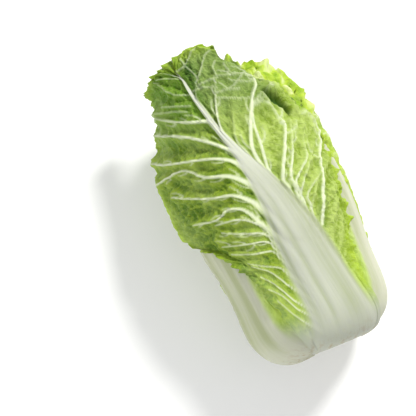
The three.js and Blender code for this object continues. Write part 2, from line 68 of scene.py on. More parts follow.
# Driving sizes, in millimetres and degrees, the same as the frame's
MM = 0.001
HEART_OUTLINE = [
    (27, 17), (43, 18), (54, 27), (59, 46), (60, 85), (60, 130),
    (58, 172), (54, 206), (47, 238), (35, 261), (20, 273), (0, 277),
]
STATIONS = 113
STUMP_RADIUS = 25.8
STUMP_CUT_HEIGHT = 2
STUMP_TOP = 16.6
TILT = math.radians(1.8)
WRAP_LAYER = 13
OUTER_LEAVES = 5
INNER_LEAVES = 5
SPIRAL_STEP = 146
INNER_SPIRAL_SHIFT = 26
FRONT_LENGTH = 308
OUTER_LENGTH = 292
INNER_LENGTH = 296
INNER_RIB = 0.9
CLOSING = 0.78  # share of a leaf's length where its tip begins to close
TIP_ROUNDNESS = 2.1
FRONT_TIP_ROUNDNESS = 3
RIB_HALF_WIDTH = [
    (0, 30), (12, 40), (24, 43), (45, 38), (85, 32), (150, 27), (195, 16), (230, 9.5), (264, 5), (300, 2),
]
RIB_DEPTH = [(0, 3.6), (40, 7), (110, 6.5), (200, 4), (260, 2.2), (330, 0.6)]
BLADE_WIDTH = [(14, 0), (40, 8), (70, 15), (110, 30), (150, 50), (190, 72), (230, 90), (260, 97)]
FRONT_LEFT_WIDTH = [(14, 0), (41, 18), (75, 29), (98, 38), (131, 65), (156, 100), (200, 106), (250, 91)]
FRONT_RIGHT_WIDTH = [(24, 2), (62, 9), (91, 22), (117, 41), (141, 48), (198, 84), (230, 104), (262, 108)]
FRONT_LEAN = [(0, 18), (80, 9), (150, 2), (200, -8), (264, -26), (310, -34)]
FRONT_RIB_WIDTH = [
    (0, 30), (12, 39), (24, 41), (40, 37), (70, 34), (98, 30), (121, 26), (141, 21), (157, 17),
    (173, 13), (189, 9.5), (203, 6.5), (219, 4.4), (236, 3.2), (266, 2.2), (300, 1),
]
OPEN_FROM = 200  # from here on the front leaf's open end leaves the body
OPEN_RADIUS = 66
OPEN_START = 202
OPEN_TAPER = 0.24
OPEN_STRETCH = 1.08
BLADE = 0.9

# What differs between the two halves of the front leaf: how wide the blade is, how steeply its veins
# rise, how high it swells between them and how wide they are
FRONT_HALVES = {
    -1: {"width": FRONT_LEFT_WIDTH, "rise": 0.38, "swelling": 5.5, "vein": 0.9},
    1: {"width": FRONT_RIGHT_WIDTH, "rise": 0.6, "swelling": 3.8, "vein": 0.52},
}
PLAIN_HALF = {"width": BLADE_WIDTH, "rise": 0.5, "swelling": 3, "vein": 0.8}
PLAIN_HALVES = {-1: PLAIN_HALF, 1: PLAIN_HALF}

SIDES = (-1, 1)
STALK_LEAF = "outer_leaf_3"  # its stalk shows on the left of the front leaf
BACK_LEAF = "outer_leaf_2"  # its left edge shows along the right outline


def smoothstep(low, high, value):
    t = np.clip((value - low) / (high - low), 0, 1)
    return t * t * (3 - 2 * t)


def falling(low, high, value):
    return 1 - smoothstep(low, high, value)


def between(rise, top, fall, end, value):
    """Grows from rise to top, and fades from fall to end."""
    return smoothstep(rise, top, value) * falling(fall, end, value)


def mix(a, b, share):
    return a + (b - a) * share


def swing(phase):
    """A wave from 0 to 1."""
    return 0.5 + 0.5 * np.sin(phase)


def curve_through(points):
    """A smooth curve through points, with no overshoot between them, for arrays."""
    xs, ys = np.array(points, float).T
    rises = np.diff(ys) / np.diff(xs)
    slopes = np.concatenate([rises[:1], np.zeros(len(xs) - 2), rises[-1:]])
    for i in range(1, len(xs) - 1):
        if rises[i - 1] * rises[i] > 0:
            slopes[i] = 2 * rises[i - 1] * rises[i] / (rises[i - 1] + rises[i])

    def curve(x):
        x = np.clip(x, xs[0], xs[-1])
        i = np.clip(np.searchsorted(xs, x, side="right") - 1, 0, len(xs) - 2)
        span = xs[i + 1] - xs[i]
        t = (x - xs[i]) / span
        bend = span * t * (1 - t) * (slopes[i] * (1 - t) - slopes[i + 1] * t)
        return mix(ys[i], ys[i + 1], t * t * (3 - 2 * t)) + bend

    return curve


rib_half_width = curve_through(RIB_HALF_WIDTH)
rib_depth = curve_through(RIB_DEPTH)
front_lean = curve_through(FRONT_LEAN)
front_rib_width = curve_through(FRONT_RIB_WIDTH)


def catmull_rom(points, i, t):
    """Places on a smooth line through points: a share t of the way from point i to the next."""
    last = len(points) - 1
    before, a, b, after = (points[np.clip(i + n, 0, last)] for n in (-1, 0, 1, 2))
    into, out = (b - before) / 2, (after - a) / 2
    return (2 * a - 2 * b + into + out) * t**3 + (-3 * a + 3 * b - 2 * into - out) * t**2 + into * t + a


LINE_STEPS = 5


def smooth_line(points):
    points = np.array(points, float)
    spans = len(points) - 1
    i = np.repeat(np.arange(spans), LINE_STEPS)
    t = np.tile(np.arange(LINE_STEPS) / LINE_STEPS, spans)[:, None]
    return np.vstack([catmull_rom(points, i, t), points[-1:]])


def from_segment(x, y, start, end):
    """Distance from a segment, and how far along it the nearest place is."""
    (ax, ay), (bx, by) = start, end
    dx, dy = bx - ax, by - ay
    t = np.clip(((x - ax) * dx + (y - ay) * dy) / (dx * dx + dy * dy), 0, 1)
    return np.hypot(x - ax - t * dx, y - ay - t * dy), t


# Random patterns, each from its own seed
TABLE = 64


def value_noise(x, y, seed):
    """Smooth noise from 0 to 1, with features about 1 wide."""
    table = np.random.RandomState(seed).rand(TABLE, TABLE)
    xi, yi = np.floor(x).astype(int), np.floor(y).astype(int)
    fx, fy = smoothstep(0, 1, x - xi), smoothstep(0, 1, y - yi)
    x0, x1, y0, y1 = xi % TABLE, (xi + 1) % TABLE, yi % TABLE, (yi + 1) % TABLE
    return mix(mix(table[x0, y0], table[x1, y0], fx), mix(table[x0, y1], table[x1, y1], fx), fy)


def cell_depth(x, y, seed):
    """How deep inside a random cell each place is, for cells about 1 wide."""
    shifts = np.random.RandomState(seed).rand(TABLE, TABLE, 2)
    xi, yi = np.floor(x).astype(int), np.floor(y).astype(int)
    nearest = np.full(np.shape(x), 9.0)
    second = np.full(np.shape(x), 9.0)
    for step_x in (-1, 0, 1):
        for step_y in (-1, 0, 1):
            cx, cy = xi + step_x, yi + step_y
            shift = shifts[cx % TABLE, cy % TABLE]
            reach = np.hypot(cx + shift[..., 0] - x, cy + shift[..., 1] - y)
            second = np.minimum(second, np.maximum(nearest, reach))
            nearest = np.minimum(nearest, reach)
    return second - nearest


# The body that the leaves are wrapped on: evenly spaced stations along the heart's outline
def even_stations(points, count):
    """Radius, height and length along the outline at each station."""
    points = np.array(points, float)
    at = np.linspace(0, len(points) - 1, 4000)
    i = np.minimum(at.astype(int), len(points) - 2)
    curve = catmull_rom(points, i, (at - i)[:, None])
    length = np.concatenate([[0], np.cumsum(np.hypot(*np.diff(curve, axis=0).T))])
    even = np.linspace(0, length[-1], count)
    return np.interp(even, length, curve[:, 0]), np.interp(even, length, curve[:, 1]), even


station_radius, station_height, station_y = even_stations(HEART_OUTLINE, STATIONS)
station_run = np.gradient(station_y)
station_outward = np.gradient(station_height) / station_run
station_along = -np.gradient(station_radius) / station_run
station_wrap = np.maximum.accumulate(station_radius + WRAP_LAYER * station_outward)

stump_low, stump_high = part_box("stump")
stump_middle = (Vector(stump_low) + Vector(stump_high)) / 2 / MM
stump_centre = (STUMP_CUT_HEIGHT + STUMP_TOP) / 2
OFFSET = np.array([
    stump_middle.x,
    stump_middle.y - stump_centre * math.cos(TILT),
    stump_middle.z - stump_centre * math.sin(TILT),
])


def tilted(points):
    """Turns points of the upright head as the frame's head lies, in millimetres."""
    x, y, z = points[..., 0], points[..., 1], points[..., 2]
    rise, run = math.sin(TILT), math.cos(TILT)
    return np.stack([x, y * run - z * rise, y * rise + z * run], -1)


def surface_at(y, angle, opening):
    """Point and outward direction of the body, or of the front leaf's open end."""
    past = y - OPEN_FROM
    radius = mix(np.interp(y, station_y, station_radius), OPEN_RADIUS - OPEN_TAPER * past, opening)
    height = mix(np.interp(y, station_y, station_height), OPEN_START + OPEN_STRETCH * past, opening)
    outward = mix(np.interp(y, station_y, station_outward), 1, opening)
    along = mix(np.interp(y, station_y, station_along), OPEN_TAPER, opening)
    point = np.stack([radius * np.sin(angle), height, radius * np.cos(angle)], -1)
    direction = np.stack([outward * np.sin(angle), along, outward * np.cos(angle)], -1)
    return tilted(point) + OFFSET, tilted(direction)


def blur(field, passes, axes=(0, 1)):
    """Smooths a field from row to row, from column to column, or both."""
    for _ in range(passes):
        for axis in axes:
            lines = np.moveaxis(field, axis, 0)
            padded = np.concatenate([lines[:1], lines, lines[-1:]])
            field = np.moveaxis(0.25 * padded[:-2] + 0.5 * lines + 0.25 * padded[2:], 0, axis)
    return field


def fill_gaps(field):
    """Fills places where no ray hit from those beside them, along the rows first and then the columns."""
    for lines in (field, field.T):
        for line in lines:
            good = ~np.isnan(line)
            if good.any():
                line[:] = np.interp(np.arange(len(line)), np.flatnonzero(good), line[good])
    return field


# The leaves of the frame, for the rays
def tree_of(names):
    """The faces of some leaves as one tree that rays can hit, and which leaf owns each face."""
    vertices, polygons, owners = [], [], []
    for name in names:
        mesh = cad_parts[name].data
        first = len(vertices)
        vertices += [tuple(v.co / MM) for v in mesh.vertices]
        polygons += [[first + i for i in p.vertices] for p in mesh.polygons]
        owners += [name] * len(mesh.polygons)
    return BVHTree.FromPolygons(vertices, polygons), owners


LEAF_NAMES = [f"outer_leaf_{n + 1}" for n in range(OUTER_LEAVES)]
LEAF_NAMES += [f"inner_leaf_{n + 1}" for n in range(INNER_LEAVES)]
all_tree, all_owners = tree_of(LEAF_NAMES)

COARSE_ROWS = 48
COARSE_COLUMNS = np.concatenate([np.linspace(0, 1, 5)[:-1], np.linspace(1, 2, 11)])
RAY_BELOW = 30
RAY_ABOVE = 90
EDGE_PLACES = 1200


class Leaf:
    """One leaf drawn flat. Order 0 is the front leaf, the outermost."""

    def __init__(self, order, rows, rib_columns, blade_columns):
        self.order = order
        self.front = order == 0
        self.outer = order < OUTER_LEAVES
        self.name = LEAF_NAMES[order]
        self.length = FRONT_LENGTH if self.front else OUTER_LENGTH if self.outer else INNER_LENGTH
        self.tip_roundness = FRONT_TIP_ROUNDNESS if self.front else TIP_ROUNDNESS
        self.rib_scale = 1 if self.outer else INNER_RIB
        self.angle = SPIRAL_STEP * order + (0 if self.outer else INNER_SPIRAL_SHIFT)
        self.halves = FRONT_HALVES if self.front else PLAIN_HALVES
        self.widths = {side: curve_through(self.halves[side]["width"]) for side in SIDES}
        self.edges = {side: self.edge_table(side) for side in SIDES}
        self.starts = self.row_starts(rows)
        across_rib = np.linspace(0, 1, rib_columns, endpoint=False)
        self.columns = np.concatenate([across_rib, np.linspace(1, 2, blade_columns + 1)])

    def middle_angle(self, y):
        return np.radians(front_lean(y)) if self.front else np.radians(self.angle) + 0 * y

    def rib_width(self, y):
        """Half width of the white rib as it shows."""
        return front_rib_width(y) if self.front else 0.95 * self.rib_scale * rib_half_width(y)

    def half_width(self, side, y):
        closing = CLOSING * self.length
        held = np.minimum(y, closing)
        full = self.rib_scale * rib_half_width(held) + self.widths[side](held)
        past = np.clip((y - closing) / (self.length - closing), 0, 1)
        return full * (1 - past**self.tip_roundness) ** (1 / self.tip_roundness)

    def edge_table(self, side):
        """Places along the edge, each with the height at which its row leaves the rib."""
        y = self.length * np.sin(np.linspace(0, math.pi / 2, EDGE_PLACES))
        x = self.half_width(side, y)
        reach = np.maximum(0, x - self.rib_scale * rib_half_width(y))
        gathered = 0.06 * self.length * smoothstep(0.8, 1, y / self.length)
        start = y - self.halves[side]["rise"] * reach - gathered
        return np.maximum.accumulate(start) + np.arange(EDGE_PLACES) * 1e-6, x, y

    def row_starts(self, count):
        """Rows spread so that they are about as close along both edges as along the rib."""
        dense = np.linspace(0, 0.94 * self.length, 2000)
        cost = np.gradient(dense)
        for start, x, y in self.edges.values():
            run = np.hypot(np.gradient(np.interp(dense, start, x)), np.gradient(np.interp(dense, start, y)))
            cost = np.maximum(cost, 0.55 * run)
        total = np.cumsum(blur(cost[:, None], 60, axes=(0,))[:, 0])
        total = (total - total[0]) / (total[-1] - total[0])
        return np.interp(np.linspace(0, 1, count), total, dense)

    def flat_half(self, side, starts, columns):
        """x, y, the distance from the edge and the length along it, for each row and column of one half."""
        table_start, table_x, table_y = self.edges[side]
        edge_x = np.interp(starts, table_start, table_x)[:, None]
        edge_y = np.interp(starts, table_start, table_y)[:, None]
        edge_x[-1], edge_y[-1] = 0, self.length
        rib_share = self.rib_scale * rib_half_width(starts)[:, None] / np.maximum(edge_x, 1e-3)
        rib_share = np.clip(rib_share, 0.12, 0.86)
        rib_share[-1] = 0.3
        c = columns[None, :]
        share = np.where(c < 1, rib_share * c, mix(rib_share, 1, c - 1))
        x = edge_x * share
        y = starts[:, None] + (edge_y - starts[:, None]) * (1.4 * share - 0.4 * share**2)
        run = np.hypot(np.gradient(edge_x[:, 0]), np.gradient(edge_y[:, 0]))
        return side * x, y, edge_x - x, np.cumsum(run)[:, None] + 0 * share

    def opening(self, x, y):
        return smoothstep(205, 275, y) * falling(46, 90, x) if self.front else 0 * y

    def angle_at(self, x, y):
        return self.middle_angle(y) + x / np.interp(y, station_y, station_wrap)

    def measure(self):
        """Height of the frame's leaf over the body, and how bare it is, on a coarse grid."""
        tree, _ = tree_of([self.name])
        shares = np.linspace(0, 1, len(self.starts))
        self.coarse_starts = np.interp(np.linspace(0, 1, COARSE_ROWS), shares, self.starts)
        self.measured = {}
        for side in SIDES:
            x, y, _, _ = self.flat_half(side, self.coarse_starts, COARSE_COLUMNS)
            points, directions = surface_at(y, self.angle_at(x, y), self.opening(x, y))
            level = np.full(x.shape, np.nan)
            bare = np.full(x.shape, np.nan)
            for i in np.ndindex(x.shape):
                point, direction = Vector(points[i]), Vector(directions[i])
                hit = tree.ray_cast(point - direction * RAY_BELOW, direction)
                if hit[0] is not None:
                    level[i] = hit[3] / direction.length - RAY_BELOW
                top = all_tree.ray_cast(point + direction * RAY_ABOVE, -direction)
                if top[0] is not None:
                    bare[i] = all_owners[top[2]] == self.name
            self.measured[side] = self.refined(fill_gaps(level)), self.refined(fill_gaps(bare))

    def refined(self, coarse):
        """A measured field on the fine grid, smoothed."""
        coarse = blur(coarse, 1)
        rows = np.array([np.interp(self.starts, self.coarse_starts, column) for column in coarse.T]).T
        fine = np.array([np.interp(self.columns, COARSE_COLUMNS, row) for row in rows])
        passes = max(4, int((len(self.starts) / COARSE_ROWS) ** 2 * 1.5))
        return blur(blur(fine, passes, axes=(0,)), 12, axes=(1,))


# Veins: lines on the flat leaf, each with a size. Those of the front leaf are set one by one.
FRONT_VEINS = {
    -1: [
        (0.75, [(41, 40), (47, 50), (53, 66)]),
        (0.8, [(40, 52), (46, 68), (55, 79)]),
        (0.85, [(38, 60), (43, 74), (48, 84), (56, 93)]),
        (0.85, [(35, 76), (38, 85), (44, 96), (57, 106)]),
        (0.8, [(32, 93), (42, 100), (58, 110)]),
        (0.85, [(30, 111), (46, 116), (63, 124)]),
        (0.8, [(29, 121), (46, 127), (66, 134)]),
        (0.85, [(27, 129), (42, 137), (58, 146)]),
        (0.9, [(25, 137), (36, 150), (58, 155)]),
        (1.0, [(24, 139), (28, 156), (40, 163), (54, 159), (76, 164)]),
        (1.1, [(19, 161), (28, 173), (48, 180), (80, 196)]),
        (1.15, [(11, 176), (19, 190), (38, 199), (56, 214), (98, 212)]),
        (1.2, [(6, 192), (12, 205), (38, 217), (98, 231)]),
        (1.15, [(2, 206), (14, 225), (40, 241), (92, 254)]),
        (0.85, [(1, 239), (17, 245), (36, 253), (70, 268)]),
        (0.55, [(0, 284), (8, 292), (18, 300)]),
    ],
    1: [
        (0.4, [(34, 92), (46, 104), (52, 118)]),
        (0.5, [(30, 108), (42, 120), (56, 134)]),
        (0.55, [(25, 122), (42, 134), (62, 145)]),
        (0.6, [(24, 134), (36, 149), (48, 163)]),
        (0.9, [(62, 178), (76, 192), (84, 204), (85, 215), (73, 222)]),
        (0.65, [(27, 148), (54, 163), (76, 172)]),
        (0.75, [(23, 153), (41, 170), (70, 192)]),
        (0.7, [(24, 163), (46, 179), (55, 194), (74, 212)]),
        (0.95, [(23, 170), (35, 184), (46, 199), (60, 216)]),
        (1.15, [(17, 172), (42, 203), (51, 214), (54, 226), (59, 244)]),
        (0.95, [(11, 184), (21, 207), (29, 223), (40, 236), (60, 245), (76, 247)]),
        (1.15, [(9, 193), (13, 207), (26, 224), (45, 242), (61, 254), (61, 263), (48, 267), (34, 271)]),
        (0.5, [(7, 219), (24, 241), (40, 255)]),
        (0.9, [(3, 231), (12, 246), (22, 259), (31, 270)]),
        (0.5, [(3, 262), (12, 276), (20, 296)]),
    ],
}

# The net between the veins at the open end
END_NET = {
    -1: [
        [(0, 266), (14, 271), (23, 279), (29, 287), (38, 295)],
        [(7, 257), (23, 263), (42, 269)],
        [(3, 284), (20, 291), (31, 295)],
        [(14, 254), (29, 260), (58, 267)],
    ],
    1: [
        [(11, 273), (24, 283), (34, 293), (42, 298)],
        [(11, 293), (23, 300), (31, 304)],
        [(11, 273), (15, 278), (11, 293)],
        [(1, 293), (11, 293), (11, 301)],
        [(33, 270), (35, 280), (41, 285)],
        [(10, 270), (21, 271), (31, 270)],
        [(3, 268), (15, 267), (26, 262)],
        [(23, 258), (40, 258), (55, 264)],
        [(20, 254), (31, 249), (44, 244)],
        [(41, 265), (48, 259), (61, 256)],
        [(47, 280), (47, 270), (54, 266)],
        [(31, 265), (35, 257), (43, 254)],
    ],
}
END_NET_WIDTH = 0.63
END_NET_HEIGHT = 1.4
BRANCHED_SIZE = 0.75  # veins above this size, and leaving the rib above that height, have branches
BRANCHED_FROM = 120
BRANCH_STARTS = np.arange(0.36, 0.97, 0.11)
FAR = 60.0
VEIN_REACH = 14
LEAST_VEIN = 1.15


def side_veins(leaf, side, random):
    """Where the side veins of one half run, and their sizes."""
    if leaf.front:
        return FRONT_VEINS[side]
    table_start, table_x, table_y = leaf.edges[side]
    veins = []
    start = 52 + 8 * random.rand()
    while start < 0.9 * leaf.length:
        edge = np.array([np.interp(start, table_start, table_x), np.interp(start, table_start, table_y)])
        root = np.array([0.9 * leaf.rib_width(start), start - 4])
        rise = edge - root
        sway = 5 * (random.rand() - 0.5)
        veins.append((0.45 + 0.6 * smoothstep(50, 190, start), [
            root, root + rise * (0.3, 0.45) + (0, sway), root + rise * (0.62, 0.78), root + 0.95 * rise,
        ]))
        start += 10 + 7 * random.rand() + 4 * smoothstep(120, 240, start)
    return veins


def side_vein(size, points, slimness):
    """One vein: it parts from the rib gradually, with a stout neck if it is high up, and thins outwards."""
    x0, y0 = points[0]
    down = min(1, y0 / 110)
    inside = [(0.42 * x0, y0 - 62 * down), (0.66 * x0, y0 - 34 * down), (0.88 * x0, y0 - 12 * down)]
    x, y = smooth_line(inside + list(points)).T
    t = np.linspace(0, 1, len(x))
    parted = smoothstep(0, 0.4, t)
    high = smoothstep(100, 150, y0)
    neck, stalk = mix(1.5, 4.6, high), mix(1.3, 3.2, high)
    width = slimness * size * mix(mix(neck, stalk, parted), 0.95, smoothstep(0.35, 1, t) ** 0.85)
    height = mix(0.3, 1, high) * size * mix(4.2, 1.8, smoothstep(0.45, 1, t)) * mix(0.1, 1, parted)
    return x, y, width, height


def vein_branch(x, y, at, size, random):
    """A thin curved branch that leaves a vein at a share of its length."""
    at += 0.05 * random.rand()
    n = min(int(at * (len(x) - 1)), len(x) - 2)
    turn = random.choice([-1, 1])
    length = (8 + 12 * random.rand()) * (1.15 - 0.5 * at)
    heading = math.atan2(y[n + 1] - y[n], x[n + 1] - x[n]) + turn * (0.75 + 0.45 * random.rand())
    u = np.linspace(0, 1, 6)
    bearing = heading - 0.6 * turn * u
    branch_x, branch_y = x[n] + length * u * np.cos(bearing), y[n] + length * u * np.sin(bearing)
    return branch_x, branch_y, 0.8 * mix(1, 0.7, u), 0.7 * size * mix(1, 0.4, u)


def vein_curves(leaf, side):
    """Lines of the side veins and their branches: x, y, widths and heights."""
    random = np.random.RandomState(100 * leaf.order + side + 1)
    curves = []
    for size, points in side_veins(leaf, side, random):
        vein = side_vein(size, points, leaf.halves[side]["vein"])
        curves.append(vein)
        if size > BRANCHED_SIZE and points[0][1] > BRANCHED_FROM:
            curves += [vein_branch(vein[0], vein[1], at, size, random) for at in BRANCH_STARTS]
    for points in END_NET[side] if leaf.front else ():
        x, y = smooth_line(points).T
        curves.append((x, y, END_NET_WIDTH + 0 * x, END_NET_HEIGHT + 0 * x))
    return curves


def vein_relief(leaf, side, x, y):
    """Height and whiteness of the veins, distance from the nearest one, and the painted shade lines beside
    them.
    """
    height, white, beside = np.zeros(x.shape), np.zeros(x.shape), np.zeros(x.shape)
    distance = np.full(x.shape, FAR)
    ax = np.abs(x)
    for curve_x, curve_y, widths, heights in vein_curves(leaf, side):
        near = (ax > curve_x.min() - VEIN_REACH) & (ax < curve_x.max() + VEIN_REACH)
        near &= (y > curve_y.min() - VEIN_REACH) & (y < curve_y.max() + VEIN_REACH)
        if not near.any():
            continue
        best = np.full(near.sum(), FAR)
        width, top = np.full(best.shape, 0.1), np.zeros(best.shape)
        joints = list(zip(curve_x, curve_y))
        for n in range(len(joints) - 1):
            away, t = from_segment(ax[near], y[near], joints[n], joints[n + 1])
            closer = away < best
            best[closer] = away[closer]
            width[closer] = mix(widths[n], widths[n + 1], t)[closer]
            top[closer] = mix(heights[n], heights[n + 1], t)[closer]
        soft = np.maximum(width, LEAST_VEIN)
        height[near] = np.maximum(height[near], top * np.exp(-((best / soft) ** 2)))
        white[near] = np.maximum(white[near], falling(0.35, 1.1, best / soft) * smoothstep(0.3, 1.1, width))
        distance[near] = np.minimum(distance[near], best)
        # a painted shade line along each big vein, a little out from it
        line = np.exp(-(((best - 1.35 * width) / 2.2) ** 2)) * smoothstep(1.1, 2.4, width)
        beside[near] = np.maximum(beside[near], line)
    return height, white, distance, beside * (1 - white)


RIB_PROUD = 3.2  # how far the rib stands out beyond the crinkled blade beside it
STALK_SPREAD = 1.9  # how much wider the stalk beside the front leaf shows, on its left
GROOVE_DEPTH = 2.4


def rib_relief(leaf, side, x, y):
    """Thickness that the rib adds, with its lengthwise ridges, how white it is, and how deep its grooves."""
    half = np.maximum(leaf.rib_width(y), 1) * (STALK_SPREAD if leaf.name == STALK_LEAF and side < 0 else 1)
    across = np.clip(np.abs(x) / (1.04 * half), 0, 1)
    body = (1 - across**2) ** 1.2
    place = side * np.abs(x) / np.maximum(half, 5) + 3 + leaf.order
    place = place + 0.1 * value_noise(y / 70, place * 2, 31 + leaf.order)
    broad = value_noise(place * 2.2, y / 300, 41 + leaf.order)
    wave = swing(13 * place + 4 * value_noise(place * 2, y / 150, 51))
    fine = swing(34 * place + 3 * value_noise(place * 3, y / 110, 61))
    strong = value_noise(place * 4, y / 170, 71)
    groove = np.clip(0.6 * broad + 0.5 * wave * strong + 0.06 * fine, 0, 1)
    strength = smoothstep(6, 50, y) * smoothstep(1.0, 0.7, across) * smoothstep(1, 11, half)
    proud = RIB_PROUD * between(60, 150, 270, 300, y) * smoothstep(0, 12, half)
    thickness = (rib_depth(y) * leaf.rib_scale + proud) * body - GROOVE_DEPTH * (groove - 0.3) * strength
    return thickness, body, groove


HOLLOW_FROM, HOLLOW_TO = (60, 248), (65, 220)  # the hollow high on the right of the front leaf, darkened with painted shade
LIP_HEIGHT = 4.0
HOLLOW_DEPTH = 4.0
CREST_LINE = [(66, 292), (60, 276), (68, 261), (78, 254), (84, 245), (82, 233), (86, 222), (97, 200)]

# How far the front leaf's edges are pulled in towards its rib
EDGE_PULL = {
    -1: [
        (20, 9), (35, 5), (52, 3), (83, 5), (111, 9), (134, 13), (150, 15), (166, 15), (190, 8), (225, 8),
        (262, 0),
    ],
    1: [(30, 3), (59, 5), (90, 7), (131, 11), (156, 7), (175, 12), (201, 7), (228, 0)],
}

# How far the front leaf's end edge hangs down, with the notch that is torn in it and the spike beside that,
# and how far it lies aside
DROOP = [
    (-97, 0), (-88, 5), (-78, 10), (-68, 12), (-56, 11), (-42, 9), (-20, 6.5), (0, 4), (10, 2.5), (22, 1.5),
    (36, 2.2), (48, 2.5), (51, 6), (55, 13), (62, 13), (66, 9), (68.5, 1), (70.5, -6), (73, 4), (80, 7),
    (92, 7), (102, 5), (108, -3), (113, 0),
]
SWAY = [
    (36, 0), (47, 4), (50, 0), (53, -5), (57, -8), (62, -8), (66, -6), (70.5, -5), (74, -3), (82, 0), (90, 0),
]
DOWN = np.array([-0.40, -0.91, -0.10])
ASIDE = np.array([0.91, -0.41, 0.0])
CORNER_SHIFT = np.array([7.5, -3.0, 4.0])  # how far the torn corner of the open end stands off


def beyond_line(points, x, y):
    """Signed distance from a line: above zero on its right, seen along it from the top down."""
    line = smooth_line(points)
    best = np.full(x.shape, 1e3)
    signed = -best
    for start, end in zip(line[:-1], line[1:]):
        away, _ = from_segment(x, y, start, end)
        closer = away < best
        best[closer] = away[closer]
        right = (x - start[0]) * (end[1] - start[1]) - (y - start[1]) * (end[0] - start[0]) < 0
        signed[closer] = np.where(right, away, -away)[closer]
    return signed


def crest_of(leaf, side, x, y):
    """How far the crumpled crest covers each place of the front leaf, and the painted shadow line where it
    begins.
    """
    if not leaf.front or side < 0:
        return 0 * x, 0 * x
    beyond = beyond_line(CREST_LINE, x, y)
    window = smoothstep(192, 215, y)
    return smoothstep(-0.5, 3.5, beyond) * window, between(-1, 1.5, 2, 7, beyond) * window


def fold_relief(leaf, side, x, y):
    """The hollow with its overhanging lip, high on the right of the front leaf, and the painted shade in the
    hollow.
    """
    if not leaf.front or side < 0:
        return 0 * x, 0 * x
    (x0, y0), (x1, y1) = HOLLOW_FROM, HOLLOW_TO
    length = math.hypot(x1 - x0, y1 - y0)
    ux, uy = (x1 - x0) / length, (y1 - y0) / length
    along = ((x - x0) * ux + (y - y0) * uy) / length
    bow = np.sin(math.pi * np.clip(along, 0, 1))
    aside = -(x - x0) * uy + (y - y0) * ux - 8 * bow
    window = between(-0.05, 0.12, 0.9, 1.05, along)
    lip = LIP_HEIGHT * window * between(-1, 3, 5, 20, aside)
    sunk = HOLLOW_DEPTH * window * between(-9 * bow - 1, -5 * bow, -1, 2, aside)
    shade = window * between(-8 * bow - 1, -6 * bow, -0.5, 1.5, aside)
    return lip - sunk, shade


BOX_LOW, BOX_HIGH = (np.array(corner) / MM for corner in start_bounds)
BOX_SPARE_LOW = np.array([2.0, 2.0, 0.0])
BOX_SPARE_HIGH = np.array([2.0, 2.0, 3.5])
SOFT = 5.0


def within_box(points):
    """Presses the points softly into the space that the frame takes, with the floor as its underside."""
    low, high = BOX_LOW - BOX_SPARE_LOW, BOX_HIGH + BOX_SPARE_HIGH
    over = np.minimum(points - (low + SOFT), 0)
    points = np.where(over < 0, low + SOFT * np.exp(over / SOFT), points)
    over = np.maximum(points - (high - SOFT), 0)
    return np.where(over > 0, high - SOFT * np.exp(-over / SOFT), points)


# The blade's relief, in millimetres: the height of each pattern, and how wide and long its features are
WARP, WARP_SIZE = 5, 11
WIDE_NET, WIDE_CELL = 1.8, (10, 13)
SMALL_NET, SMALL_CELL = 1.0, (4.6, 5.6)
SWELL, SWELL_SIZE = 2.6, (20, 26)
RIDGE_SIDE = 11  # how far from a vein the blade is raised
CREST_RUFFLE, CREST_CURL, CREST_SINK = 6, 4, 7
RUFFLE_CELL = 13
LOW_FRONT_RELIEF = 0.35
FRILL, CREST_FRILL, FRILL_PITCH, FRILL_REACH = 5.2, 4.0, 19, 17
RIPPLE, RIPPLE_PITCH = 2.4, 8.5
TOOTH, TOOTH_PITCH = 5.5, 3.4
LOBE, LOBE_PITCH = 6.5, 10
COVERED = 0.25  # share of the relief that is left where other leaves lie on it
STALK_PULL = 9
BACK_SHIFT = 11
BACK_FLARE = -2.6
BACK_FRILL = 0.42


